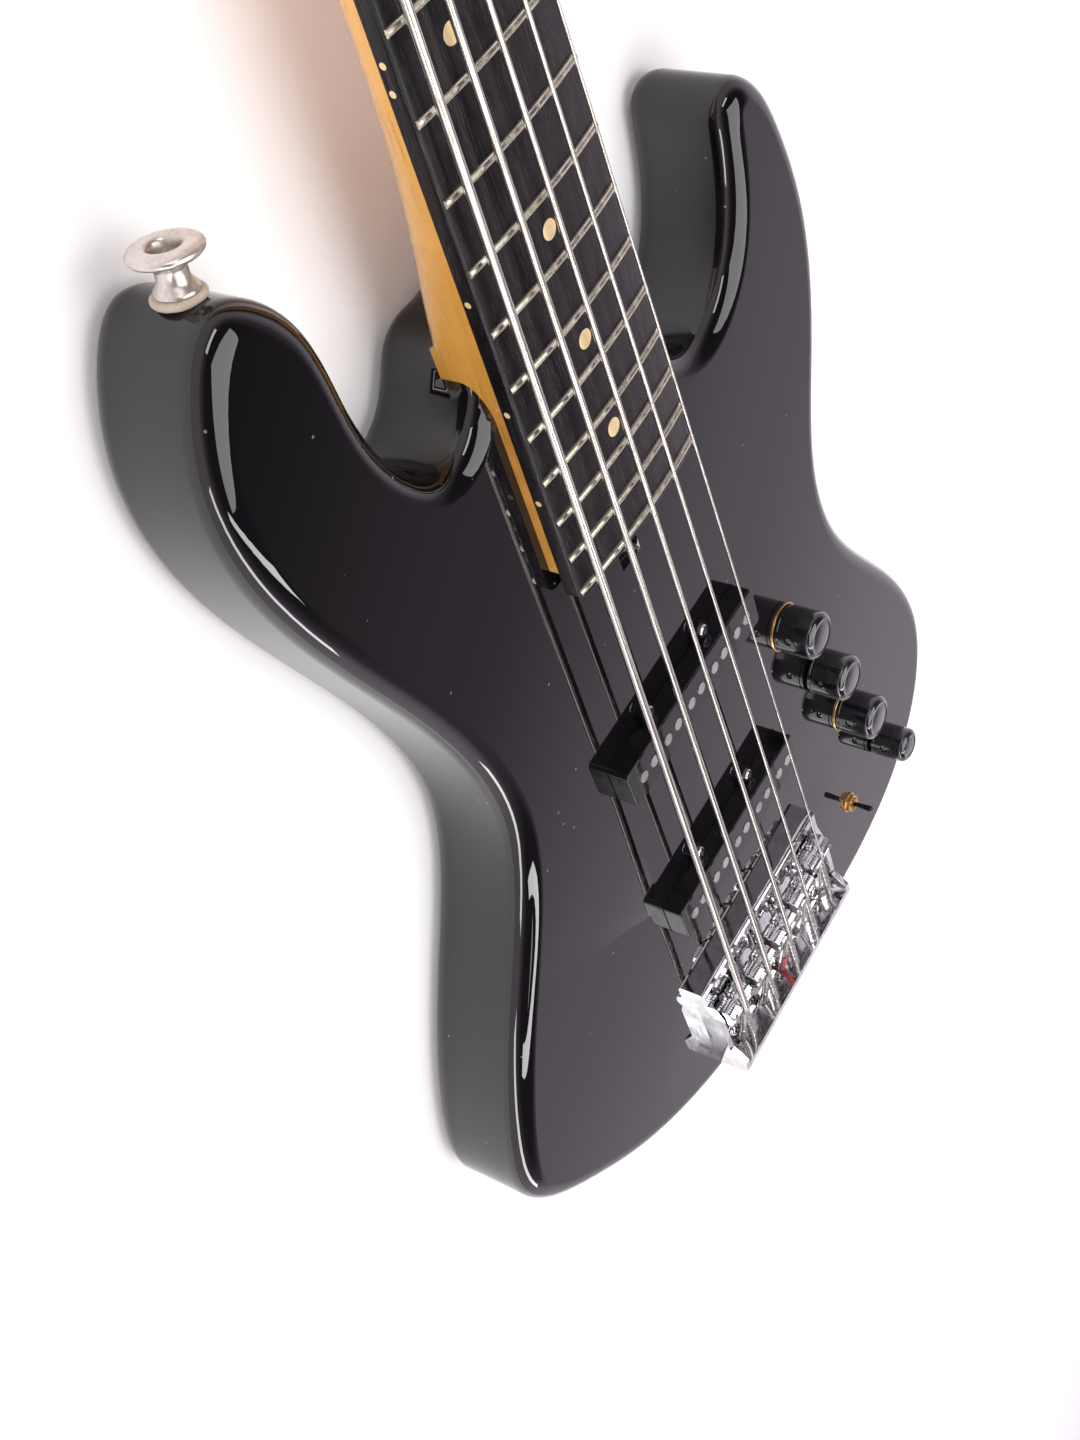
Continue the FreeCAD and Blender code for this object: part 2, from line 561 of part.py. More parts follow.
def make_truss_rod():
    """The rod in the neck, with a threaded end for its nut."""
    rod = cylinder(ROD_RADIUS - 0.1, SCALE - 36 - HEEL_END, V(0, HEEL_END + 2, rod_channel_z()), Y_AXIS)
    thread = cylinder(1.9, 16, V(0, HEEL_END - 13, rod_channel_z()), Y_AXIS)
    return rod.fuse(thread).removeSplitter()


def make_truss_nut():
    """The adjusting nut in the notch at the end of the neck."""
    start = V(0, HEEL_END - 2 - ROD_NUT_LONG, rod_channel_z())
    wheel = cylinder(ROD_NUT_RADIUS, ROD_NUT_LONG, start, Y_AXIS)
    bore = cylinder(1.95, ROD_NUT_LONG, start, Y_AXIS)
    socket = hexagon(2.4, 5, start, Y_AXIS)
    return wheel.cut([bore, socket])


def make_neck_plate():
    """The steel plate under the four neck screws."""
    plate = rounded_prism(
        ((-PLATE_HALF_X, PLATE_Y - PLATE_HALF_Y), (PLATE_HALF_X, PLATE_Y - PLATE_HALF_Y),
         (PLATE_HALF_X, PLATE_Y + PLATE_HALF_Y), (-PLATE_HALF_X, PLATE_Y + PLATE_HALF_Y)),
        5 - FIT_GAP, 3, PLATE_THICK + 3)
    return plate.cut([cylinder(NECK_SCREW_RADIUS + 0.1, 8, V(p.x, p.y, 0)) for p in neck_screw_points()])


def make_neck_screws():
    """The four wood screws through the plate and body into the heel."""
    return Part.makeCompound([
        pan_screw(NECK_SCREW_RADIUS, 4.4, 2.4, POCKET_FLOOR + 11, V(p.x, p.y, 3), V(0, 0, -1))
        for p in neck_screw_points()])


# ---------------------------------------------------------------- strings and tuners

def bent_path(points, radii):
    """Straight runs through points, joined by a tangent arc of a given radius at each inner point."""
    edges = []
    at = points[0]
    for before, corner, after, radius in zip(points, points[1:], points[2:], radii):
        back = (before - corner).normalize()
        ahead = (after - corner).normalize()
        half_turn = (math.pi - back.getAngle(ahead)) / 2
        reach = radius * math.tan(half_turn)
        a, b = corner + back * reach, corner + ahead * reach
        middle_dir = (back + ahead).normalize()
        middle = corner + middle_dir * (radius / math.cos(half_turn) - radius)
        edges.append(Part.makeLine(at, a))
        edges.append(Part.Arc(a, middle, b).toShape())
        at = b
    edges.append(Part.makeLine(at, points[-1]))
    return Part.Wire(edges)


def make_string(index):
    """One string: ball end, run over saddle and nut, and its turns on the post."""
    name = STRINGS[index]
    radius = STRING_RADIUS[name]
    back_y = BRIDGE_BACK - BALL_RADIUS
    wrap_center = V(post_center(index).x, post_center(index).y, wrap_height(index))
    ring = POST_RADIUS + WRAP_GAP + radius
    side = V(string_x(index, wrap_center.y) - string_x(index, SCALE), wrap_center.y - SCALE, 0)
    side = V(side.y, -side.x, 0).normalize()
    touch = wrap_center + side * ring
    saddle = saddle_center(index)
    bend = SADDLE_RADIUS - GROOVE_DEEP + radius
    fall = math.atan2(string_saddle_z(index) - ball_z(), saddle.y - back_y)
    points = [
        V(string_x(index, 0), back_y, ball_z()),
        V(string_x(index, 0), saddle.y - bend * math.tan(fall / 2), string_saddle_z(index)),
        V(string_x(index, SCALE), SCALE + NUT_CREST, string_nut_z(index)),
        touch - V(-side.y, side.x, 0) * WRAP_LEVEL,
        touch]
    path = bent_path(points, (bend, 12.0, 12.0))
    around = [wrap_center + turned(side, angle) * ring for angle in (0, WRAP_OPEN / 2, WRAP_OPEN)]
    path = Part.Wire(path.Edges + [Part.Arc(*around).toShape()])
    circle = Part.Wire(Part.makeCircle(radius, points[0], points[1] - points[0]))
    run = path.makePipeShell([circle], True, True)
    ball = cylinder(BALL_RADIUS, BALL_LONG, V(points[0].x - BALL_LONG / 2, back_y, ball_z()), X_AXIS)
    pitch = radius * 2 + 0.15
    turns = [
        Part.makeTorus(ring, radius, wrap_center - Z_AXIS * (pitch * turn))
        for turn in range(1, WRAP_TURNS)]
    return Part.makeCompound([run.fuse(ball)] + turns)


def turned(direction, degrees):
    """A level direction turned anticlockwise, seen from above."""
    angle = math.radians(degrees)
    return V(
        direction.x * math.cos(angle) - direction.y * math.sin(angle),
        direction.x * math.sin(angle) + direction.y * math.cos(angle), 0)


def wrap_height(index):
    """Height of the top turn of a string on its post."""
    return HEAD_TOP + 11.5 - STRING_RADIUS[STRINGS[index]] * 0.4


def ball_z():
    """Height of the ball ends behind the bridge's rear wall."""
    return BRIDGE_FLOOR_TOP + 0.4


def tuner_frame(index):
    """A tuner's post centre, and the outward direction of its key shaft."""
    first, last = post_center(0), post_center(4)
    along = V(last.x - first.x, last.y - first.y, 0).normalize()
    return post_center(index), along, V(-along.y, along.x, 0)


GEAR_RADIUS, WORM_RADIUS, WORM_LONG = 7.2, 3.0, 10.0
GEAR_THICK, GEAR_DROP, TUNER_PLATE = 4.0, 1.3, 1.5


def plate_z():
    """Underside of the tuner plates."""
    return HEAD_BACK - TUNER_PLATE


def worm_center(index):
    """Centre of a tuner's worm, beside its gear on the headstock's back."""
    post, along, outward = tuner_frame(index)
    reach = GEAR_RADIUS + WORM_RADIUS + 0.1
    return V(post.x, post.y, plate_z() - GEAR_DROP - GEAR_THICK / 2) + along * reach


def tuner_screw_points():
    """Places of the screws that hold the tuner plates."""
    points = []
    for i in range(len(STRINGS)):
        post, along, outward = tuner_frame(i)
        for sign in (-1, 1):
            points.append(V(post.x, post.y, 0) - along * 11.5 + outward * sign * 6)
    return points


def oriented_box(center, along, outward, half_along, out0, out1, z0, z1):
    """A block with its sides along a tuner's own directions."""
    corners = []
    for a, o in ((-half_along, out0), (half_along, out0), (half_along, out1), (-half_along, out1)):
        p = center + along * a + outward * o
        corners.append(V(p.x, p.y, z0))
    return Part.Face(Part.makePolygon(corners + corners[:1])).extrude(V(0, 0, z1 - z0))


def make_tuner_plates():
    """The back plates of the tuners, each with two folded bearings for the worm shaft."""
    plates = []
    for i in range(len(STRINGS)):
        post, along, outward = tuner_frame(i)
        worm = worm_center(i)
        plate = oriented_box(post, along, outward, 14.5, -9.5, 11, plate_z(), HEAD_BACK)
        upright = [e for e in plate.Edges if abs(e.tangentAt(e.FirstParameter).z) > 0.99]
        plate = plate.makeFillet(2.5, upright)
        for near in (-WORM_LONG / 2 - 2.0, WORM_LONG / 2 + 0.3):
            ear = oriented_box(worm, along, outward, 4.0, near, near + 1.7, worm.z - 4.2, plate_z())
            plate = plate.fuse(ear)
        holes = [
            cylinder(POST_RADIUS - 1.0 + SCREW_CLEAR, 20, V(post.x, post.y, HEAD_BACK - 10)),
            cylinder(1.8 + SCREW_CLEAR, 30, worm - outward * 15, outward)]
        for p in tuner_screw_points()[2 * i:2 * i + 2]:
            holes.append(cylinder(1.1, 8, V(p.x, p.y, plate_z() - 2)))
        plates.append(plate.cut(holes))
    return Part.makeCompound(plates)


def make_tuner_bushings():
    """The flanged bushings that guide the posts through the headstock's face."""
    bushings = []
    for i in range(len(STRINGS)):
        p = post_center(i)
        sleeve = cylinder(POST_RADIUS + BUSHING_WALL, 10, V(p.x, p.y, HEAD_TOP - 10))
        flange = cylinder(BUSHING_FLANGE, BUSHING_RIM, V(p.x, p.y, HEAD_TOP))
        rim = [e for e in flange.Edges if e.BoundBox.ZMin > HEAD_TOP + 0.5 and e.Curve.TypeId == "Part::GeomCircle"]
        flange = flange.makeFillet(0.8, rim[:1])
        bore = cylinder(POST_RADIUS + SCREW_CLEAR, 30, V(p.x, p.y, HEAD_TOP - 15))
        bushings.append(sleeve.fuse(flange).cut(bore).removeSplitter())
    return Part.makeCompound(bushings)


def make_tuner_post(index):
    """A slotted post with its worm gear on the lower end."""
    p = post_center(index)
    top = HEAD_TOP + POST_HIGH
    low = plate_z() - GEAR_DROP
    post = cylinder(POST_RADIUS, POST_HIGH + 10, V(p.x, p.y, HEAD_TOP - 10))
    crown = [e for e in post.Edges if e.BoundBox.ZMin > top - 0.1 and e.Curve.TypeId == "Part::GeomCircle"]
    post = post.makeFillet(0.8, crown[:1])
    slot_floor = HEAD_TOP + 4.5
    slot = box(p.x - 10, p.x + 10, p.y - 1.9, p.y + 1.9, top - 4.0, top + 1)
    well = cylinder(1.9, top - slot_floor, V(p.x, p.y, slot_floor))
    stem = cylinder(POST_RADIUS - 1.0, HEAD_TOP - 9 - low, V(p.x, p.y, low))
    gear = cylinder(GEAR_RADIUS, GEAR_THICK, V(p.x, p.y, low - GEAR_THICK))
    teeth = 20
    gaps = []
    for i in range(teeth):
        angle = 2 * math.pi * i / teeth
        at = V(p.x + GEAR_RADIUS * math.cos(angle), p.y + GEAR_RADIUS * math.sin(angle), low - GEAR_THICK - 1)
        gaps.append(cylinder(0.62, GEAR_THICK + 2, at))
    return post.fuse([stem, gear.cut(gaps)]).cut([slot, well]).removeSplitter()


def make_tuner_key(index):
    """A key with its shaft and worm. The worm is a plain drum that just clears the gear."""
    post, along, outward = tuner_frame(index)
    worm = worm_center(index)
    drum = cylinder(WORM_RADIUS, WORM_LONG, worm - outward * WORM_LONG / 2, outward)
    shaft_end = 22.0
    shaft = cylinder(1.8, WORM_LONG / 2 + 2.2 + shaft_end, worm - outward * (WORM_LONG / 2 + 2.2), outward)
    collar = cylinder(3.4, 6, worm + outward * (shaft_end - 7), outward)
    leaf_center = worm + outward * (shaft_end + 9)
    rounds = []
    for along_shift, out_shift, radius in ((-8.5, 1.0, 7.5), (8.5, 1.0, 7.5), (0, 7.5, 7.5), (0, -3, 7.5)):
        c = leaf_center + along * along_shift + outward * out_shift
        rounds.append(cylinder(radius, 3.0, V(c.x, c.y, worm.z - 1.5)))
    leaf = rounds[0].fuse(rounds[1:]).removeSplitter()
    return drum.fuse([shaft, collar, leaf]).removeSplitter()


def make_tuner_screws():
    """The small screws that hold the tuner plates."""
    return Part.makeCompound([
        pan_screw(1.1, 2.2, 1.2, 9, V(p.x, p.y, plate_z()), V(0, 0, -1)) for p in tuner_screw_points()])


def retainer_point():
    """Place of the string retainer's screw, between the two thinnest strings."""
    y = SCALE + 62
    return V((string_x(3, y) + string_x(4, y)) / 2, y, HEAD_TOP)


def make_retainer():
    """A round disc on a post that holds the two thinnest strings down, with its screw."""
    p = retainer_point()
    low = 6.0
    stem = cylinder(2.4, low, p)
    disc = cylinder(7.0, 2.0, p + V(0, 0, low))
    edges = [e for e in disc.Edges if e.Curve.TypeId == "Part::GeomCircle"]
    disc = disc.makeFillet(0.7, edges)
    shank = cylinder(1.3, 12, p - V(0, 0, 12))
    return stem.fuse([disc, shank]).removeSplitter()


# ---------------------------------------------------------------- bridge

def make_bridge_base():
    """The milled bridge base: floor, front lip, ribs, side rails and rear wall."""
    y0, y1 = BRIDGE_BACK, BRIDGE_FRONT
    z0 = BODY_THICK
    base = box(-BRIDGE_HALF_X, BRIDGE_HALF_X, y0, y1, z0, BRIDGE_FLOOR_TOP)
    wall = box(-BRIDGE_HALF_X, BRIDGE_HALF_X, y0, y0 + BRIDGE_WALL_THICK, z0, z0 + BRIDGE_WALL_HIGH)
    lip = box(-BRIDGE_HALF_X, BRIDGE_HALF_X, y1 - BRIDGE_LIP_LONG, y1, z0, z0 + BRIDGE_LIP_HIGH)
    pieces = [wall, lip]
    for side in (-1, 1):
        x_out, x_in = side * BRIDGE_HALF_X, side * (BRIDGE_HALF_X - BRIDGE_SIDE_THICK)
        profile = [
            V(x_out, y0, z0), V(x_out, y1, z0), V(x_out, y1, z0 + BRIDGE_LIP_HIGH),
            V(x_out, y1 - 12, z0 + BRIDGE_LIP_HIGH), V(x_out, y1 - 22, z0 + BRIDGE_LIP_HIGH + 3.2),
            V(x_out, y0 + 16, z0 + BRIDGE_LIP_HIGH + 3.2), V(x_out, y0 + 8, z0 + BRIDGE_WALL_HIGH),
            V(x_out, y0, z0 + BRIDGE_WALL_HIGH)]
        rail = Part.Face(Part.makePolygon(profile + profile[:1])).extrude(V(x_in - x_out, 0, 0))
        pieces.append(rail)
    for i in range(4):
        x = (i - 1.5) * SADDLE_SPACING
        pieces.append(box(x - RIB_WIDE / 2, x + RIB_WIDE / 2, y0 + 4, y1 - 4, z0, BRIDGE_FLOOR_TOP + RIB_HIGH))
    base = base.fuse(pieces).removeSplitter()
    long_top = [
        e for e in base.Edges
        if e.BoundBox.XLength > 60 and e.BoundBox.ZLength < 0.01 and e.BoundBox.YLength < 0.01
        and e.BoundBox.ZMin > BRIDGE_FLOOR_TOP + 0.5 and (e.BoundBox.YMin > y1 - 0.1 or e.BoundBox.YMax < y0 + 0.1)]
    base = base.makeFillet(2.4, long_top)
    holes = []
    for i, name in enumerate(STRINGS):
        c = saddle_center(i)
        start = V(c.x + INTONATION_X, y0 - 1, c.z)
        holes.append(cylinder(INTONATION_RADIUS + SCREW_CLEAR, BRIDGE_WALL_THICK + 2, start, Y_AXIS))
        aim = V(c.x, c.y, string_saddle_z(i)) - V(c.x, y0 - BALL_RADIUS, ball_z())
        bore = V(c.x, y0 - BALL_RADIUS, ball_z())
        holes.append(cylinder(STRING_RADIUS[name] + 0.3, BRIDGE_WALL_THICK + 8, bore, aim))
    for p in bridge_screw_points():
        holes.append(cylinder(BRIDGE_SCREW_RADIUS + 0.1, 20, V(p.x, p.y, z0 - 1)))
    return base.cut(holes)


def make_bridge_screws():
    """The wood screws that hold the bridge down."""
    return Part.makeCompound([
        pan_screw(BRIDGE_SCREW_RADIUS, 3.4, 1.6, 22, V(p.x, p.y, BRIDGE_FLOOR_TOP), Z_AXIS)
        for p in bridge_screw_points()])


def make_saddle(index):
    """A grooved barrel saddle with its two height screws standing on the bridge floor."""
    name = STRINGS[index]
    c = saddle_center(index)
    barrel = cylinder(SADDLE_RADIUS, SADDLE_LONG, V(c.x - SADDLE_LONG / 2, c.y, c.z), X_AXIS)
    barrel = barrel.makeChamfer(0.5, [e for e in barrel.Edges if e.Curve.TypeId == "Part::GeomCircle"])
    radius = STRING_RADIUS[name]
    groove = Part.makeTorus(SADDLE_RADIUS - GROOVE_DEEP + radius, radius + 0.04, c, X_AXIS)
    tunnel = cylinder(INTONATION_RADIUS + SCREW_CLEAR, 40, V(c.x + INTONATION_X, c.y - 20, c.z), Y_AXIS)
    grubs, holes = [], []
    for side in (-1, 1):
        foot = V(c.x + side * GRUB_X, c.y, BRIDGE_FLOOR_TOP + 0.05)
        top = c.z + SADDLE_RADIUS + 0.4
        grub = cylinder(GRUB_RADIUS, top - foot.z, foot)
        grubs.append(grub.cut(hexagon(0.65, 2, V(foot.x, foot.y, top - 2))))
        holes.append(cylinder(GRUB_RADIUS, 40, V(foot.x, foot.y, foot.z - 5)))
    return Part.makeCompound([barrel.cut([groove, tunnel] + holes)] + grubs)


def make_intonation_screw(index):
    """The long screw that sets a saddle's distance, with its head behind the rear wall."""
    c = saddle_center(index)
    head_y = BRIDGE_BACK - 0.1
    end_y = c.y + SADDLE_RADIUS + 4.0
    shank = cylinder(INTONATION_RADIUS, end_y - head_y, V(c.x + INTONATION_X, head_y, c.z), Y_AXIS)
    head = cylinder(INTONATION_HEAD, 2.2, V(c.x + INTONATION_X, head_y - 2.2, c.z), Y_AXIS)
    slot = box(c.x + INTONATION_X - 4, c.x + INTONATION_X + 4, head_y - 3, head_y - 1.2, c.z - 0.4, c.z + 0.4)
    return shank.fuse(head).cut(slot).removeSplitter()


def make_springs():
    """The springs round the intonation screws, between the rear wall and the saddles."""
    springs = []
    for i in range(len(STRINGS)):
        c = saddle_center(i)
        start = BRIDGE_BACK + BRIDGE_WALL_THICK + SPRING_WIRE
        length = c.y - SADDLE_RADIUS - SPRING_WIRE - start
        coil = Part.makeHelix(length / SPRING_TURNS, length, SPRING_RADIUS)
        corners = [V(SPRING_RADIUS, 0, 0) + turned(X_AXIS, 45 * k) * SPRING_WIRE / 2 for k in range(8)]
        section = Part.makePolygon(corners + corners[:1])
        spring = Part.Wire(coil.Edges).makePipeShell([section], True, True)
        springs.append(place_on_axis(spring, V(c.x + INTONATION_X, start, c.z), Y_AXIS))
    return Part.makeCompound(springs)


# ---------------------------------------------------------------- pickups

def pole_points(which, center_y):
    """Places of one pickup's poles: a pair under each string."""
    points = []
    for i in range(len(STRINGS)):
        x = (i - 2) * POLE_SPREAD[which]
        points += [V(x - POLE_PAIR, center_y, 0), V(x + POLE_PAIR, center_y, 0)]
    return points


def make_pickup_cover(which, center_y):
    """A moulded pickup cover, open underneath, with ears for its screws."""
    top = BODY_THICK + PICKUP_PROUD
    floor = BODY_THICK - 5
    ear_top = BODY_THICK + 2.6
    plan = pickup_plan(center_y, 0, floor, ear_top)
    cap = box(-PICKUP_HALF_X, PICKUP_HALF_X, center_y - PICKUP_HALF_Y, center_y + PICKUP_HALF_Y, floor, top)
    upright = [e for e in cap.Edges if abs(e.tangentAt(e.FirstParameter).z) > 0.99]
    cap = cap.makeFillet(2.2, upright)
    cap = cap.makeFillet(0.7, [e for e in cap.Edges if e.BoundBox.ZMin > top - 0.01])
    wall = PICKUP_WALL
    tools = [box(-PICKUP_HALF_X + wall, PICKUP_HALF_X - wall, center_y - PICKUP_HALF_Y + wall,
                 center_y + PICKUP_HALF_Y - wall, floor - 1, top - wall)]
    for p in pole_points(which, center_y):
        tools.append(cylinder(POLE_RADIUS + SCREW_CLEAR, 30, V(p.x, p.y, top - 10)))
    for p in pickup_screw_points(center_y):
        tools.append(cylinder(PICKUP_SCREW_RADIUS + 0.1, 30, V(p.x, p.y, floor - 5)))
    return plan.fuse(cap).cut(tools).removeSplitter()


def make_poles():
    """The magnet poles of both pickups, a little proud of their covers."""
    top = BODY_THICK + PICKUP_PROUD + 0.3
    poles = []
    for which, center_y in (("neck", NECK_PICKUP_Y), ("bridge", BRIDGE_PICKUP_Y)):
        for p in pole_points(which, center_y):
            poles.append(cylinder(POLE_RADIUS, 17, V(p.x, p.y, top - 17)))
    return Part.makeCompound(poles)


def make_coils():
    """The bobbins with their windings, one in each pickup."""
    coils = []
    top = BODY_THICK + PICKUP_PROUD - PICKUP_WALL - 0.4
    low = BODY_THICK - PICKUP_DEEP + 5
    for which, center_y in (("neck", NECK_PICKUP_Y), ("bridge", BRIDGE_PICKUP_Y)):
        half_x, half_y = PICKUP_HALF_X - PICKUP_WALL - 0.6, PICKUP_HALF_Y - PICKUP_WALL - 0.6
        flange = 1.4
        spool = box(-half_x, half_x, center_y - half_y, center_y + half_y, low, top)
        waist = box(-half_x - 1, half_x + 1, center_y - half_y - 1, center_y + half_y + 1, low + flange, top - flange)
        core = box(-half_x + 1, half_x - 1, center_y - half_y + 1, center_y + half_y - 1, low, top)
        coil = spool.cut(waist).fuse(core)
        coil = coil.cut([cylinder(POLE_RADIUS, 60, V(p.x, p.y, low - 5)) for p in pole_points(which, center_y)])
        coils.append(coil.removeSplitter())
    return Part.makeCompound(coils)


def make_foam():
    """The foam blocks that push the pickups up from the floor of their routes."""
    low = BODY_THICK - PICKUP_DEEP
    return Part.makeCompound([
        box(-PICKUP_HALF_X + 6, PICKUP_HALF_X - 6, y - 5, y + 5, low, low + 4.6)
        for y in (NECK_PICKUP_Y, BRIDGE_PICKUP_Y)])


def make_pickup_screws():
    """The height screws of both pickups."""
    screws = []
    for center_y in (NECK_PICKUP_Y, BRIDGE_PICKUP_Y):
        for p in pickup_screw_points(center_y):
            seat = V(p.x, p.y, BODY_THICK + 2.6)
            screws.append(pan_screw(PICKUP_SCREW_RADIUS, 2.7, 1.5, PICKUP_SCREW_LONG, seat, Z_AXIS))
    return Part.makeCompound(screws)


# ---------------------------------------------------------------- controls

def make_knob(name):
    """A knob with a domed top, its set screw, and the potentiometer's shaft."""
    x, y, radius, height = CONTROLS[name]
    low = BODY_THICK + KNOB_LIFT
    top = low + height
    knob = cylinder(radius, height, V(x, y, low))
    rim = [e for e in knob.Edges if e.BoundBox.ZMin > top - 0.1 and e.Curve.TypeId == "Part::GeomCircle"]
    knob = knob.makeFillet(KNOB_DOME, rim[:1])
    hollow = cylinder(radius - KNOB_WALL, POT_NUT_HIGH + 3, V(x, y, low - 1))
    bore = cylinder(SHAFT_RADIUS, height, V(x, y, low - 3))
    screw_z = low + 6.5
    toward = V(-1, 0.35, 0).normalize()
    screw_hole = cylinder(1.6, radius + 1, V(x, y, screw_z), toward)
    shaft_low = BODY_THICK - CAVITY_TOP_WALL - 1.2
    shaft = cylinder(SHAFT_RADIUS, low - 3 + height - shaft_low, V(x, y, shaft_low))
    grub = cylinder(1.6, radius - 1.2 - SHAFT_RADIUS, V(x, y, screw_z) + toward * SHAFT_RADIUS, toward)
    grub = grub.cut(hexagon(0.8, 3, V(x, y, screw_z) + toward * (radius - 3), toward))
    grub = grub.cut(shaft)
    return Part.makeCompound([knob.cut([hollow, bore, screw_hole]), shaft, grub])


def make_pots():
    """The potentiometers, with their threaded bushings, and the nuts that hold them to the top."""
    solids = []
    ceiling = BODY_THICK - CAVITY_TOP_WALL
    for x, y, knob_radius, knob_high in CONTROLS.values():
        can = cylinder(POT_RADIUS, POT_HIGH, V(x, y, ceiling - POT_HIGH))
        bush = cylinder(BUSH_RADIUS, CAVITY_TOP_WALL + POT_NUT_HIGH, V(x, y, ceiling))
        well = cylinder(SHAFT_RADIUS + SCREW_CLEAR, 40, V(x, y, ceiling - 1.3))
        solids.append(can.fuse(bush).cut(well).removeSplitter())
        nut = hexagon(POT_NUT_HALF, POT_NUT_HIGH - 0.2, V(x, y, BODY_THICK))
        solids.append(nut.cut(cylinder(BUSH_RADIUS, 10, V(x, y, BODY_THICK - 1))))
    return Part.makeCompound(solids)


def toggle_pivot():
    """Centre of the toggle lever's ball."""
    return V(TOGGLE_X, TOGGLE_Y, BODY_THICK + 1.0)


def make_toggle_switch():
    """The mini toggle: its case in the cavity, threaded bushing, washer and nut."""
    ceiling = BODY_THICK - CAVITY_TOP_WALL
    case = box(TOGGLE_X - 4, TOGGLE_X + 4, TOGGLE_Y - 6.4, TOGGLE_Y + 6.4, ceiling - 9, ceiling)
    bush = cylinder(TOGGLE_BUSH_RADIUS, CAVITY_TOP_WALL + TOGGLE_BUSH_HIGH, V(TOGGLE_X, TOGGLE_Y, ceiling))
    mouth = Part.makeCone(1.7, 2.75, TOGGLE_BUSH_HIGH, V(TOGGLE_X, TOGGLE_Y, BODY_THICK))
    ball_room = Part.makeSphere(2.2, toggle_pivot())
    under = cylinder(2.2, 6, toggle_pivot() - V(0, 0, 6))
    body = case.fuse(bush).cut([mouth, ball_room, under]).removeSplitter()
    washer = tube(TOGGLE_NUT_HALF + 0.9, TOGGLE_BUSH_RADIUS, 0.6, V(TOGGLE_X, TOGGLE_Y, BODY_THICK))
    nut = hexagon(TOGGLE_NUT_HALF, 1.8, V(TOGGLE_X, TOGGLE_Y, BODY_THICK + 0.6))
    nut = nut.cut(cylinder(TOGGLE_BUSH_RADIUS, 10, V(TOGGLE_X, TOGGLE_Y, BODY_THICK)))
    return Part.makeCompound([body, washer, nut])


def make_toggle_lever():
    """The toggle's bat-shaped lever, with the ball that it rocks on."""
    p = toggle_pivot()
    ball = Part.makeSphere(1.9, p)
    stem = cylinder(0.9, TOGGLE_LEVER_LONG - 2, p)
    bat = Part.makeCone(1.0, TOGGLE_LEVER_RADIUS, TOGGLE_LEVER_LONG - 3, p + V(0, 0, 2.6))
    tip = Part.makeSphere(TOGGLE_LEVER_RADIUS, p + V(0, 0, TOGGLE_LEVER_LONG - 0.4))
    return ball.fuse([stem, bat, tip]).removeSplitter()


def make_cavity_cover():
    """The plastic cover over the control cavity, sunk just under the back."""
    plate = cavity_prism(COVER_LIP, COVER_SUNK, COVER_SUNK + COVER_THICK)
    holes = []
    for p in cover_screw_points():
        holes.append(cylinder(1.25, 8, V(p.x, p.y, -2)))
        holes.append(Part.makeCone(2.6, 1.25, 1.3, V(p.x, p.y, COVER_SUNK)))
    return plate.cut(holes)


def make_cover_screws():
    """The countersunk screws of the cavity cover."""
    screws = []
    for p in cover_screw_points():
        head = Part.makeCone(2.6, 1.2, 1.3, V(p.x, p.y, COVER_SUNK))
        shank = cylinder(1.2, 9, V(p.x, p.y, COVER_SUNK + 1))
        slot = box(p.x - 1.6, p.x + 1.6, p.y - 0.35, p.y + 0.35, COVER_SUNK - 1, COVER_SUNK + 0.6)
        screws.append(head.fuse(shank).cut(slot).removeSplitter())
    return Part.makeCompound(screws)


def make_battery():
    """The nine-volt block battery, lying on the cavity cover."""
    half_x, half_y, high = 13.2, 24.2, 17.0
    cx, cy, z0 = 92.0, -10.0, COVER_SUNK + COVER_THICK + 0.5
    block = box(cx - half_x, cx + half_x, cy - half_y, cy + half_y, z0, z0 + high)
    block = block.makeFillet(2.0, [e for e in block.Edges if e.BoundBox.YLength > 20])
    snaps = [cylinder(2.8, 2.4, V(cx + s * 6.3, cy + half_y, z0 + high / 2), Y_AXIS) for s in (-1, 1)]
    return block.fuse(snaps)


def make_preamp_board():
    """The tone circuit's board with its larger components."""
    cx, cy, z0 = 85.0, 62.0, 15.0
    board = box(cx - 14, cx + 14, cy - 22, cy + 22, z0, z0 + 1.6)
    parts = [box(cx - 5, cx + 5, cy - 8, cy + 2, z0 - 3, z0)]
    for dx, dy, radius in ((-8, 14, 3), (0, 15, 2.5), (8, 12, 3), (-9, -14, 2.5), (8, -15, 3)):
        parts.append(cylinder(radius, 7, V(cx + dx, cy + dy, z0 - 7)))
    return board.fuse(parts)


def make_output_jack():
    """The barrel output socket, let into the edge of the body."""
    face_x = side_x_at(JACK_Y) - 2.5
    z = BODY_THICK / 2
    barrel = cylinder(JACK_RADIUS, 36, V(face_x - 34, JACK_Y, z), X_AXIS)
    flange = cylinder(JACK_FACE - 1.0, 1.2, V(face_x, JACK_Y, z), X_AXIS)
    nut = hexagon(7.4, 2.0, V(face_x + 1.2, JACK_Y, z), X_AXIS)
    collar = cylinder(JACK_RADIUS, 3.6, V(face_x, JACK_Y, z), X_AXIS)
    bore = cylinder(JACK_BORE, 34, V(face_x - 30, JACK_Y, z), X_AXIS)
    tail = cylinder(4.6, 4, V(face_x - 38, JACK_Y, z), X_AXIS)
    return barrel.fuse([flange, nut, collar, tail]).cut(bore).removeSplitter()


# ---------------------------------------------------------------- strap hardware

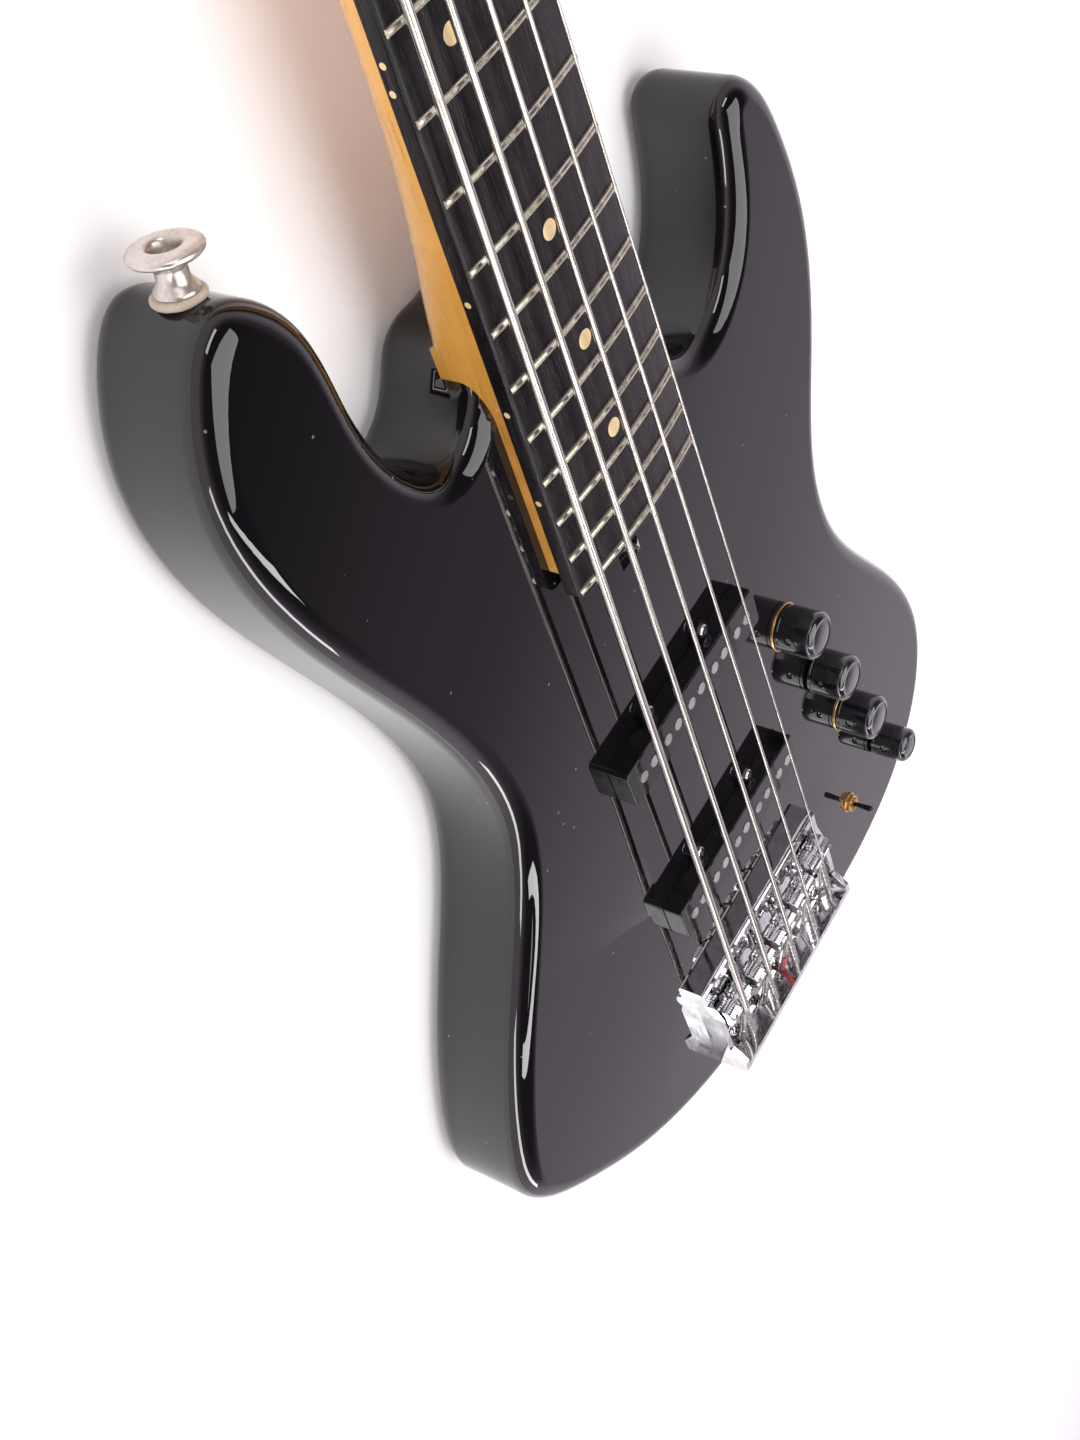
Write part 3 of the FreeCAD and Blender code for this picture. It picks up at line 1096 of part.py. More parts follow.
def button_profile():
    """Half-section of a flared strap button: radius and distance from its seat."""
    return ((BUTTON_SCREW_RADIUS + 0.1, 0), (6.3, 0), (6.3, 1.2), (4.9, 2.6), (4.4, 4.0), (4.4, 6.5),
            (5.0, 7.8), (9.6, 9.9), (10.4, 11.1), (9.9, 12.3), (6.0, 12.9), (4.6, 12.1), (4.0, 10.0),
            (4.0, BUTTON_DEEP), (BUTTON_SCREW_RADIUS + 0.1, BUTTON_DEEP))


def place_on_axis(solid, seat, axis):
    """Moves a solid made along +Z onto a seat and an axis."""
    turned = solid.copy()
    turned.Placement = FreeCAD.Placement(seat, FreeCAD.Rotation(Z_AXIS, axis))
    return turned


def make_strap_buttons():
    """The two strap buttons."""
    points = [V(r, 0, z) for r, z in button_profile()]
    blank = Part.Face(Part.makePolygon(points + points[:1])).revolve(V(0, 0, 0), Z_AXIS, 360)
    buttons = []
    for name, seat, angle in BUTTONS:
        axis = button_axis(angle)
        buttons.append(place_on_axis(blank, seat + axis * FELT_THICK, axis))
    return Part.makeCompound(buttons)


def make_felts():
    """The felt washers under the strap buttons."""
    return Part.makeCompound([
        tube(FELT_RADIUS, BUTTON_SCREW_RADIUS + 0.1, FELT_THICK, seat, button_axis(angle))
        for name, seat, angle in BUTTONS])


def make_strap_screws():
    """The screws down the middle of the strap buttons."""
    screws = []
    for name, seat, angle in BUTTONS:
        axis = button_axis(angle)
        stand_off = FELT_THICK + BUTTON_DEEP
        length = stand_off + BUTTON_SCREW_SUNK
        screws.append(pan_screw(BUTTON_SCREW_RADIUS, 3.4, 1.8, length, seat + axis * stand_off, axis))
    return Part.makeCompound(screws)


# ---------------------------------------------------------------- export

def make_all():
    """Every sub-part of the bass, by node name."""
    blank = board_blank()
    nodes = {
        "body": make_body(),
        "neck": make_neck(),
        "fingerboard": make_board(blank),
        "frets": make_frets(),
        "position_dots": make_dots(blank),
        "nut": make_nut(),
        "truss_rod": make_truss_rod(),
        "truss_nut": make_truss_nut(),
        "neck_plate": make_neck_plate(),
        "neck_screws": make_neck_screws(),
        "strings": Part.makeCompound([make_string(i) for i in range(len(STRINGS))]),
        "bridge_base": make_bridge_base(),
        "bridge_screws": make_bridge_screws(),
        "intonation_springs": make_springs(),
        "neck_pickup_cover": make_pickup_cover("neck", NECK_PICKUP_Y),
        "bridge_pickup_cover": make_pickup_cover("bridge", BRIDGE_PICKUP_Y),
        "pickup_poles": make_poles(),
        "pickup_coils": make_coils(),
        "pickup_foam": make_foam(),
        "pickup_screws": make_pickup_screws(),
        "pots": make_pots(),
        "toggle_switch": make_toggle_switch(),
        "toggle_lever": make_toggle_lever(),
        "cavity_cover": make_cavity_cover(),
        "cover_screws": make_cover_screws(),
        "battery": make_battery(),
        "preamp_board": make_preamp_board(),
        "output_jack": make_output_jack(),
        "strap_buttons": make_strap_buttons(),
        "strap_felts": make_felts(),
        "strap_screws": make_strap_screws(),
        "tuner_plates": make_tuner_plates(),
        "tuner_bushings": make_tuner_bushings(),
        "tuner_screws": make_tuner_screws(),
        "string_retainer": make_retainer(),
    }
    for name in CONTROLS:
        nodes[name + "_knob"] = make_knob(name)
    for i, name in enumerate(STRINGS):
        nodes["saddle_" + name] = make_saddle(i)
        nodes["intonation_screw_" + name] = make_intonation_screw(i)
        nodes["tuner_post_" + name] = make_tuner_post(i)
        nodes["tuner_key_" + name] = make_tuner_key(i)
    return nodes


def main():
    """Builds every sub-part and writes one file for each."""
    os.makedirs("parts", exist_ok=True)
    for name, shape in make_all().items():
        shape.exportStep(f"parts/{name}.step")
        state = "valid" if shape.isValid() else "NOT VALID"
        print(f"{name}: {len(shape.Solids)} solids, {shape.Volume:.0f} mm3, {state}")


if __name__ == "__main__":
    main()
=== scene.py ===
# %% [markdown]
# # A five-string electric bass guitar
#
# This lesson finishes a bass whose wooden and metal parts were already designed to size. The designed
# parts come in as a fixed frame: +Y runs up the neck, +X is the thin-string side and +Z comes out of the
# face, all in metres. What the frame can't give is what the eye judges first: deep black lacquer, wound
# strings, turned knobs, felt washers and old nickel. Each step says what the piece is on the real
# instrument, how it could be made, and why it is made this way here.

# %% Load the frame
import json
import math
import bpy
from mathutils import Matrix, Vector


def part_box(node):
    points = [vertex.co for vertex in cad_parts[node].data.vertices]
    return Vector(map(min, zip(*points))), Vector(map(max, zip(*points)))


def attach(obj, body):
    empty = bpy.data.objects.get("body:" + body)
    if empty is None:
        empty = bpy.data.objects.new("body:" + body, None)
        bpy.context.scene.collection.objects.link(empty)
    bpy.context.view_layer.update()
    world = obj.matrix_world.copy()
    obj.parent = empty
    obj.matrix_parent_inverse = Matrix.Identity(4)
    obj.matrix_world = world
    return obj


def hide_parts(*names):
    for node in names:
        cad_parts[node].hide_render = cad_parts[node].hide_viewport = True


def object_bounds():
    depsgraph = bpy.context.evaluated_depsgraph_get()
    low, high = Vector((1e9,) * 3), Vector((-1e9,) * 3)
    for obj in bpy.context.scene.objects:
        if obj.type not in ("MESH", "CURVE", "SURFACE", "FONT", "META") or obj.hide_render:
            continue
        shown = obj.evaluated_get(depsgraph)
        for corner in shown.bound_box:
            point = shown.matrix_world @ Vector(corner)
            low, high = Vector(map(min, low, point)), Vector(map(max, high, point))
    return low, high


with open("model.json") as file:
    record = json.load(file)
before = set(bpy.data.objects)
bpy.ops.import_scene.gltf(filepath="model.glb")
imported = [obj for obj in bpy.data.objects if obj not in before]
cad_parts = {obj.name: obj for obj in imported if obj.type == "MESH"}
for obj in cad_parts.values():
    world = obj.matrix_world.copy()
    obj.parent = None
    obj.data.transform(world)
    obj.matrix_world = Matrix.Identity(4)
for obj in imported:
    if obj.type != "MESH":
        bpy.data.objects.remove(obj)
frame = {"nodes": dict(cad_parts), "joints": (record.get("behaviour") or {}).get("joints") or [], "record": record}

cad_box = [list(corner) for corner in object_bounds()]
nodes = frame["nodes"]
print("frame:", len(nodes), "parts, box", [[round(v, 3) for v in corner] for corner in cad_box])

# %% [markdown]
# ## Tools of the bench
#
# Everything below is made the way it would be at the keyboard: add a primitive, go into edit mode, pick
# faces or edges, extrude, inset, scale, then apply modifiers. An operator works on whatever is selected,
# so the first habit is to clear the selection, and the second is to pick faces by where they are.

# %% Selecting and editing
def clear():
    """Object mode, with nothing selected."""
    if bpy.context.object and bpy.context.object.mode != "OBJECT":
        bpy.ops.object.mode_set(mode="OBJECT")
    bpy.ops.object.select_all(action="DESELECT")


def take(*pieces):
    """Selects just these pieces. The first is the active one."""
    clear()
    for piece in pieces:
        piece.select_set(True)
    bpy.context.view_layer.objects.active = pieces[0]
    return pieces[0]


def choose(piece, kind, test):
    """Edit mode, with just the vertices, edges or faces selected whose place passes the test."""
    take(piece)
    bpy.ops.object.mode_set(mode="EDIT")
    bpy.ops.mesh.select_mode(type=kind)
    bpy.ops.mesh.select_all(action="DESELECT")
    bpy.ops.object.mode_set(mode="OBJECT")
    mesh = piece.data
    if kind == "FACE":
        for face in mesh.polygons:
            face.select = test(face.center, face.normal)
    elif kind == "VERT":
        for vertex in mesh.vertices:
            vertex.select = test(vertex.co)
    else:
        for edge in mesh.edges:
            edge.select = all(test(mesh.vertices[i].co) for i in edge.vertices)
    bpy.ops.object.mode_set(mode="EDIT")


def name_it(name):
    """Gives the piece just added its name."""
    piece = bpy.context.object
    piece.name = name
    piece.data.name = name
    return piece


def apply_modifiers(piece):
    """Turns every modifier on a piece into real mesh."""
    take(piece)
    for modifier in list(piece.modifiers):
        bpy.ops.object.modifier_apply(modifier=modifier.name)


def join(name, *pieces):
    """Makes several pieces one piece."""
    take(*pieces)
    bpy.ops.object.join()
    return name_it(name)


def put(piece, matrix):
    """Moves a piece's mesh to its place and leaves its object at the origin."""
    piece.data.transform(matrix)
    piece.data.update()
    return piece


def another(piece, name, matrix):
    """A copy with its own mesh, put in its place."""
    copy = piece.copy()
    copy.data = piece.data.copy()
    bpy.context.scene.collection.objects.link(copy)
    copy.name = copy.data.name = name
    return put(copy, matrix)


def smooth(piece, degrees=32):
    """Smooth shading with the hard edges kept, and faces all pointing outwards."""
    choose(piece, "FACE", lambda place, normal: True)
    bpy.ops.mesh.remove_doubles(threshold=1e-6)
    bpy.ops.mesh.normals_make_consistent(inside=False)
    take(piece)
    bpy.ops.object.shade_smooth_by_angle(angle=math.radians(degrees))
    return piece


def finish_piece(piece, body, slot, material, *stands_for):
    """Rides a piece on its body, gives it its material and hides the plain part that it stands for. Its slot is not
    used.
    """
    piece.data.materials.clear()
    piece.data.materials.append(material)
    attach(piece, body)
    if stands_for:
        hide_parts(*stands_for)
    print(f"{piece.name}: {len(piece.data.polygons)} faces")
    return piece


# %% [markdown]
# ## Turned parts
#
# Knobs, strap buttons, saddles and ball ends are turned on a lathe, and so is their mesh: one ring of
# vertices is extruded, lifted and scaled for each step of the profile. Spinning a drawn profile would give
# the same shape, but stacked rings never leave a seam, and the ends close with a small fan.

# %% A lathe made of extruded rings
def turned(name, profile, sides=48):
    """A turned solid along +Z from (radius, height) steps in millimetres. It is closed at both ends."""
    clear()
    radius, height = profile[0]
    bpy.ops.mesh.primitive_circle_add(
        vertices=sides, radius=radius / 1000, fill_type="NGON", location=(0, 0, height / 1000))
    piece = name_it(name)
    bpy.ops.object.transform_apply(location=True, rotation=False, scale=False)
    bpy.ops.object.mode_set(mode="EDIT")
    bpy.ops.mesh.select_mode(type="VERT")
    bpy.ops.mesh.select_all(action="SELECT")
    for next_radius, next_height in profile[1:]:
        bpy.ops.mesh.extrude_region_move(
            TRANSFORM_OT_translate={"value": (0, 0, (next_height - height) / 1000)})
        share = next_radius / radius
        bpy.ops.transform.resize(value=(share, share, 1), center_override=(0, 0, 0))
        radius, height = next_radius, next_height
    bpy.ops.object.mode_set(mode="OBJECT")
    return piece

# %% [markdown]
# ## The camera
#
# The instrument is seen from beside the neck, from above the thick strings and down towards the bridge,
# close enough for strong perspective. The camera is rolled, because the bass was standing up when this
# view was chosen, and here it lies on its back. The camera's three axes are written out as columns.

# %% Place the camera
SIGHT = Vector((0.43824, -0.73595, -0.51606))
PICTURE_RIGHT = Vector((0.51174, -0.26772, 0.81636))
PICTURE_UP = Vector((0.73896, 0.62185, -0.25929))
EYE = Vector((-0.32996, 0.67139, 0.35814))

lens = bpy.data.cameras.new("view")
lens.sensor_fit = "AUTO"
lens.sensor_width = 36.0
lens.lens = 45.2
lens.shift_x = -0.0036
lens.shift_y = -0.0089
lens.clip_start = 0.02
camera = bpy.data.objects.new("view", lens)
bpy.context.scene.collection.objects.link(camera)
turn = Matrix((PICTURE_RIGHT, PICTURE_UP, -SIGHT)).transposed().to_4x4()
camera.matrix_world = Matrix.Translation(EYE) @ turn
bpy.context.scene.camera = camera
print("camera at", [round(v, 3) for v in EYE])

# %% [markdown]
# ## The studio
#
# Black lacquer has almost no colour of its own. What is seen in it is the room, so the light is chosen
# for its reflections: a pale floor, a dim mauve surround that greys the face, and a few long soft boxes
# whose edges draw the bright lines round the rim of the body.

# %% Floor and surround
FLOOR_DROP = 0.0005
clear()
bpy.ops.mesh.primitive_plane_add(size=14, location=(0, 0, cad_box[0][2] - FLOOR_DROP))
floor = name_it("studio_floor")
bpy.ops.object.transform_apply(location=True, rotation=False, scale=False)

scene = bpy.context.scene
scene.view_settings.view_transform = "Standard"
world = bpy.data.worlds.new("surround")
scene.world = world
world.use_nodes = True
sky = world.node_tree
direction = sky.nodes.new("ShaderNodeTexCoord")
split = sky.nodes.new("ShaderNodeSeparateXYZ")
ramp = sky.nodes.new("ShaderNodeValToRGB")
SURROUND = ((0.0, (1.0, 0.93, 1.0)), (0.36, (1.0, 0.90, 1.0)), (0.45, (0.72, 0.63, 0.72)),
            (0.56, (0.27, 0.23, 0.27)), (0.70, (0.055, 0.047, 0.052)), (1.0, (0.03, 0.026, 0.03)))
ramp.color_ramp.interpolation = "EASE"
stops = ramp.color_ramp.elements
while len(stops) < len(SURROUND):
    stops.new(0.5)
for stop, (height, colour) in zip(stops, SURROUND):
    stop.position = height
    stop.color = (*colour, 1)
sky.links.new(direction.outputs["Generated"], split.inputs[0])
sky.links.new(split.outputs["Z"], ramp.inputs["Fac"])
sky.links.new(ramp.outputs["Color"], sky.nodes["Background"].inputs["Color"])
sky.nodes["Background"].inputs["Strength"].default_value = 1.0


def soft_box(name, place, aim, wide, tall, watts, colour=(1, 1, 1)):
    """A rectangular light that faces a point."""
    light = bpy.data.lights.new(name, "AREA")
    light.shape = "RECTANGLE"
    light.size, light.size_y = wide, tall
    light.energy = watts
    light.color = colour
    lamp = bpy.data.objects.new(name, light)
    bpy.context.scene.collection.objects.link(lamp)
    place, aim = Vector(place), Vector(aim)
    lamp.matrix_world = Matrix.Translation(place) @ (aim - place).to_track_quat("-Z",
        "Y").to_matrix().to_4x4()
    return lamp


BODY_MIDDLE = (0, 0.15, 0.03)
soft_box("overhead", (0.0, 0.2, 2.4), BODY_MIDDLE, 2.4, 2.4, 62)
soft_box("low_rim_strip", (-1.43, -0.84, 0.84), (-0.13, 0.3, 0.03), 2.2, 0.20, 14)
soft_box("high_rim_strip", (-0.5, -0.96, 1.71), (-0.1, 0.3, 0.03), 2.0, 0.16, 9)
soft_box("neck_end_strip", (-0.6, 2.2, 1.5), BODY_MIDDLE, 1.4, 0.3, 10)

# %% [markdown]
# ## Shared effects
#
# Real finishes share a few faults: hands leave faint smudges, dust settles, metal keeps the marks of the
# wheel that polished it, wood has grain. Each of these is one shader node group with named sockets. It
# puts out a mask or a height, and every material that uses it sets its own scale, so the whole
# instrument looks as if it has lived in one room.

# %% Building shader groups
def group_with(name, inputs, outputs):
    """A shader group with named number inputs and outputs, its input and output nodes, and its tree."""
    tree = bpy.data.node_groups.new(name, "ShaderNodeTree")
    for socket, value in inputs:
        made = tree.interface.new_socket(name=socket, in_out="INPUT", socket_type="NodeSocketFloat")
        made.default_value = value
    for socket in outputs:
        tree.interface.new_socket(name=socket, in_out="OUTPUT", socket_type="NodeSocketFloat")
    return tree, tree.nodes.new("NodeGroupInput"), tree.nodes.new("NodeGroupOutput")


def add(tree, kind, settings=(), **sockets):
    """Adds a node, sets its properties, and sets or links its inputs by name or number."""
    node = tree.nodes.new("ShaderNode" + kind)
    for key, value in dict(settings).items():
        setattr(node, key, value)
    for key, value in sockets.items():
        socket = node.inputs[int(key[1:])] if key[0] == "i" and key[1:].isdigit() else node.inputs[key]
        if isinstance(value, bpy.types.NodeSocket):
            tree.links.new(value, socket)
        else:
            socket.default_value = value
    return node


def maths(tree, operation, a, b=0.0, c=None):
    """One arithmetic step, kept between nothing and all where it is a mask."""
    node = add(tree, "Math", {"operation": operation}, i0=a, i1=b)
    if c is not None:
        tree.links.new(c, node.inputs[2]) if isinstance(c, bpy.types.NodeSocket) else setattr(
            node.inputs[2], "default_value", c)
    return node.outputs[0]


def spread(tree, value, low, high, to_low=0.0, to_high=1.0):
    """Stretches the part of a value between low and high over a new range, and holds it there."""
    node = add(tree, "MapRange", {"clamp": True}, i0=value, i1=low, i2=high, i3=to_low, i4=to_high)
    return node.outputs[0]


def stretched(tree, along):
    """Object coordinates multiplied by a number along each axis."""
    place = add(tree, "TexCoord")
    return add(tree, "Mapping", {"vector_type": "POINT"}, Vector=place.outputs["Object"],
               Scale=along).outputs[0]


# Smudges: broad soft patches broken by finer ones, as hands and a dry cloth leave them
tree, into, out = group_with("hand_smudges", [("Scale", 30.0), ("Sharpness", 0.5)], ["Mask"])
broad = add(tree, "TexNoise", Scale=into.outputs["Scale"], Detail=5.0, Roughness=0.62,
            Vector=stretched(tree, (1, 1, 1)))
fine = add(tree, "TexNoise", Scale=maths(tree, "MULTIPLY", into.outputs["Scale"], 7.0), Detail=3.0,
           Vector=stretched(tree, (1.0, 0.35, 1.0)))
both = maths(tree, "MULTIPLY", broad.outputs[0], maths(tree, "ADD", fine.outputs[0], 0.5))
low_edge = maths(tree, "MULTIPLY", into.outputs["Sharpness"], 0.5)
tree.links.new(maths(tree, "SUBTRACT", spread(tree, both, 0.35, 0.75), low_edge, None), out.inputs["Mask"])
smudges = tree

# Dust: scattered specks, each a small cell of its own
tree, into, out = group_with("settled_dust", [("Scale", 400.0), ("Amount", 0.1)], ["Mask"])
cells = add(tree, "TexVoronoi", {"feature": "F1"}, Scale=into.outputs["Scale"],
            Vector=stretched(tree, (1, 1, 1)))
speck = spread(tree, cells.outputs["Distance"], 0.09, 0.14, 1.0, 0.0)
tone = add(tree, "SeparateColor", i0=cells.outputs["Color"])
kept = maths(tree, "LESS_THAN", tone.outputs[0], into.outputs["Amount"])
tree.links.new(maths(tree, "MULTIPLY", speck, kept), out.inputs["Mask"])
dust = tree

# Fine grain: the even tooth of moulded plastic, cast metal, sprayed lacquer or foam
tree, into, out = group_with("fine_tooth", [("Scale", 2000.0), ("Detail", 2.0)], ["Height", "Mask"])
tooth = add(tree, "TexNoise", Scale=into.outputs["Scale"], Detail=into.outputs["Detail"], Roughness=0.6,
            Vector=stretched(tree, (1, 1, 1)))
tree.links.new(tooth.outputs[0], out.inputs["Height"])
tree.links.new(spread(tree, tooth.outputs[0], 0.4, 0.65), out.inputs["Mask"])
fine_tooth = tree

# Polishing lines: long thin streaks along Y, crossed by a slow change of tone
tree, into, out = group_with("polishing_lines", [("Scale", 900.0), ("Patches", 60.0)], ["Height", "Mask"])
lines = add(tree, "TexNoise", Scale=into.outputs["Scale"], Detail=4.0, Roughness=0.7,
            Vector=stretched(tree, (1.0, 0.06, 1.0)))
patches = add(tree, "TexNoise", Scale=into.outputs["Patches"], Detail=3.0,
              Vector=stretched(tree, (1, 1, 1)))
tree.links.new(lines.outputs[0], out.inputs["Height"])
tree.links.new(
    maths(tree, "MULTIPLY", spread(tree, lines.outputs[0], 0.35, 0.65),
          spread(tree, patches.outputs[0], 0.3, 0.7)),
    out.inputs["Mask"])
polishing_lines = tree

# Wood grain: warped growth rings that run along the neck, with short dark pores
tree, into, out = group_with("wood_grain", [("Rings", 45.0), ("Pores", 900.0)],
                             ["Rings", "Pores", "Height"])
warp = add(tree, "TexNoise", Scale=12.0, Detail=2.0, Vector=stretched(tree, (1.0, 0.12, 1.0)))
rings = add(tree, "TexWave", {"wave_type": "BANDS", "bands_direction": "X", "wave_profile": "SIN"},
            Scale=into.outputs["Rings"], Distortion=7.0, Detail=4.0, i4=1.3,
            Vector=stretched(tree, (1.0, 0.04, 0.7)))
pores = add(tree, "TexNoise", Scale=into.outputs["Pores"], Detail=2.0, Roughness=0.5,
            Vector=stretched(tree, (1.0, 0.035, 1.0)))
pore_mask = spread(tree, pores.outputs[0], 0.58, 0.68)
tree.links.new(maths(tree, "MULTIPLY", rings.outputs[1], maths(tree, "ADD", warp.outputs[0], 0.4)),
               out.inputs["Rings"])
tree.links.new(pore_mask, out.inputs["Pores"])
tree.links.new(maths(tree, "SUBTRACT", 1.0, pore_mask), out.inputs["Height"])
wood_grain = tree
print("shader groups:", [g.name for g in bpy.data.node_groups])

# %% [markdown]
# ## The finishes
#
# A finish is built in the same order each time: the constant character goes on the shader's own sockets,
# then groups vary the colour, the roughness and the small relief. Two helpers keep each recipe short: one
# drops a shared effect in with its own values, the other mixes two colours by a mask.

# %% Recipe helpers
def finish(name, **constants):
    """A new material, its tree and its shader with constant sockets set."""
    material = bpy.data.materials.new(name)
    material.use_nodes = True
    tree = material.node_tree
    shader = tree.nodes["Principled BSDF"]
    for key, value in constants.items():
        shader.inputs[key.replace("_", " ")].default_value = value
    return material, tree, shader


def effect(tree, group, **values):
    """Places a shared effect in a material."""
    node = tree.nodes.new("ShaderNodeGroup")
    node.node_tree = group
    for key, value in values.items():
        node.inputs[key].default_value = value
    return node


def blend_colour(tree, mask, a, b):
    """Colour a where the mask is nothing and colour b where it is full."""
    node = add(tree, "Mix", {"data_type": "RGBA"}, i0=mask)
    for socket, colour in ((node.inputs[6], a), (node.inputs[7], b)):
        if isinstance(colour, bpy.types.NodeSocket):
            tree.links.new(colour, socket)
        else:
            socket.default_value = (*colour, 1)
    return node.outputs[2]


def drive(tree, shader, colour=None, roughness=None, height=None, relief=0.0001, strength=0.5):
    """Feeds the shader's colour, roughness and small relief."""
    if colour is not None:
        tree.links.new(colour, shader.inputs["Base Color"])
    if roughness is not None:
        tree.links.new(roughness, shader.inputs["Roughness"])
    if height is not None:
        bump = add(tree, "Bump", Height=height, Distance=relief, Strength=strength)
        tree.links.new(bump.outputs[0], shader.inputs["Normal"])


finishes = {}

# %% [markdown]
# Lacquer first. The body is sprayed with black and then buried in clear polyester, which is sanded flat
# and buffed. So the colour sits deep under a very smooth coat. The buffing wheel leaves the
# faintest ripple, and there is always some dust on a black instrument.

# %% Black lacquer
material, tree, shader = finish("black_lacquer", Coat_Weight=1.0, Coat_Roughness=0.02, Coat_IOR=1.56,
                                Specular_IOR_Level=0.0)
marks = effect(tree, smudges, Scale=14.0, Sharpness=0.35)
specks = effect(tree, dust, Scale=260.0, Amount=0.035)
ripple = effect(tree, fine_tooth, Scale=38.0, Detail=1.0)
drive(tree, shader,
      colour=blend_colour(tree, specks.outputs[0], (0.0035, 0.003, 0.004), (0.16, 0.15, 0.15)),
      roughness=spread(tree, marks.outputs[0], 0.0, 1.0, 0.09, 0.22),
      height=ripple.outputs["Height"], relief=0.0002, strength=0.12)
finishes["black_lacquer"] = material

# %% [markdown]
# The neck is hard maple under a tinted gloss that has gone amber. Maple has little ring contrast but
# silky cross-figure, so two patterns share the work: slow rings along the neck and a faint flame across.

# %% Maple
material, tree, shader = finish("amber_maple", Coat_Weight=0.7, Coat_Roughness=0.05, Specular_IOR_Level=0.5)
grain = effect(tree, wood_grain, Rings=38.0, Pores=1300.0)
flame = add(tree, "TexNoise", Scale=26.0, Detail=2.0, Vector=stretched(tree, (0.5, 2.6, 0.5)))
ground = blend_colour(tree, spread(tree, grain.outputs["Rings"], 0.1, 1.1), (0.76, 0.37, 0.065),
                      (0.54, 0.225, 0.032))
figured = blend_colour(tree, spread(tree, flame.outputs[0], 0.38, 0.66, 0.0, 0.45), ground,
                       (0.86, 0.47, 0.10))
pored = blend_colour(tree, maths(tree, "MULTIPLY", grain.outputs["Pores"], 0.35), figured,
                     (0.30, 0.115, 0.02))
marks = effect(tree, smudges, Scale=25.0, Sharpness=0.3)
drive(tree, shader, colour=pored, roughness=spread(tree, marks.outputs[0], 0.0, 1.0, 0.22, 0.4),
      height=grain.outputs["Height"], relief=0.00004, strength=0.25)
finishes["maple"] = material

# %% [markdown]
# The fingerboard is a nearly black hardwood with an oiled face. Its pores are long and open, and fingers
# polish it between the frets, so it is neither dull nor glossy.

# %% Fingerboard wood
material, tree, shader = finish("dark_board", Specular_IOR_Level=0.3)
grain = effect(tree, wood_grain, Rings=60.0, Pores=1500.0)
marks = effect(tree, smudges, Scale=40.0, Sharpness=0.2)
ground = blend_colour(tree, spread(tree, grain.outputs["Rings"], 0.2, 1.1), (0.007, 0.006, 0.008),
                      (0.015, 0.010, 0.010))
drive(tree, shader, colour=blend_colour(tree, maths(tree, "MULTIPLY", grain.outputs["Pores"], 0.8), ground,
                                        (0.002, 0.0015, 0.002)),
      roughness=spread(tree, marks.outputs[0], 0.0, 1.0, 0.24, 0.42),
      height=grain.outputs["Height"], relief=0.00012, strength=0.5)
finishes["dark_board"] = material

# %% [markdown]
# Metals differ in colour, in how rough their polish is and in how they tarnish. One recipe with a few
# numbers covers them all: frets, screws, chrome, nickel and brass.

# %% Metals
def metal(name, bright, dull, smoothest, roughest, line_scale=900.0, patch_scale=60.0, relief=0.00001):
    """A polished or brushed metal whose polish lines and tarnish vary over the piece."""
    material, tree, shader = finish(name, Metallic=1.0)
    lines = effect(tree, polishing_lines, Scale=line_scale, Patches=patch_scale)
    marks = effect(tree, smudges, Scale=patch_scale * 1.5, Sharpness=0.3)
    specks = effect(tree, dust, Scale=900.0, Amount=0.03)
    tarnished = blend_colour(tree, spread(tree, marks.outputs[0], 0.0, 0.9), bright, dull)
    drive(tree, shader, colour=blend_colour(tree, specks.outputs[0], tarnished, (0.30, 0.28, 0.26)),
          roughness=spread(tree, maths(tree, "ADD", lines.outputs["Mask"], marks.outputs[0]), 0.0, 1.5,
                           smoothest, roughest),
          height=lines.outputs["Height"], relief=relief, strength=0.4)
    return material


finishes["fret_wire"] = metal("nickel_silver", (0.78, 0.74, 0.62), (0.48, 0.42, 0.30), 0.2, 0.5, 1600, 120)
finishes["steel"] = metal("plain_steel", (0.62, 0.61, 0.60), (0.40, 0.38, 0.36), 0.22, 0.45)
finishes["chrome"] = metal("bridge_chrome", (0.66, 0.66, 0.68), (0.46, 0.45, 0.45), 0.045, 0.17, 700,
                           50, 0.000004)
finishes["string_steel"] = metal("string_nickel", (0.60, 0.57, 0.53), (0.40, 0.37, 0.33), 0.18, 0.34,
                                 2200, 40)
finishes["brass"] = metal("aged_brass", (0.82, 0.56, 0.22), (0.36, 0.20, 0.08), 0.22, 0.5, 1200, 150)
finishes["satin_nickel"] = metal("satin_nickel", (0.66, 0.61, 0.56), (0.50, 0.45, 0.40), 0.28, 0.46,
                                 1800, 90)

# %% [markdown]
# Plastics come next. Pickup covers are satin with a fine moulded tooth, rear covers are matt, and the
# knobs are glossy with small scratches round their tops. Bone, dots and the battery are cousins of these.

# %% Plastics and bone
def plastic(name, colour, worn, smoothest, roughest, tooth_scale, relief, coat=0.0, dusty=0.03):
    """A moulded plastic with tooth, smudges and dust."""
    material, tree, shader = finish(name, Coat_Weight=coat, Coat_Roughness=0.06)
    tooth = effect(tree, fine_tooth, Scale=tooth_scale, Detail=3.0)
    marks = effect(tree, smudges, Scale=70.0, Sharpness=0.3)
    specks = effect(tree, dust, Scale=700.0, Amount=dusty)
    ground = blend_colour(tree, spread(tree, marks.outputs[0], 0.0, 1.0), colour, worn)
    drive(tree, shader, colour=blend_colour(tree, specks.outputs[0], ground, (0.22, 0.21, 0.20)),
          roughness=spread(tree, marks.outputs[0], 0.0, 1.0, smoothest, roughest),
          height=tooth.outputs["Height"], relief=relief, strength=0.5)
    return material


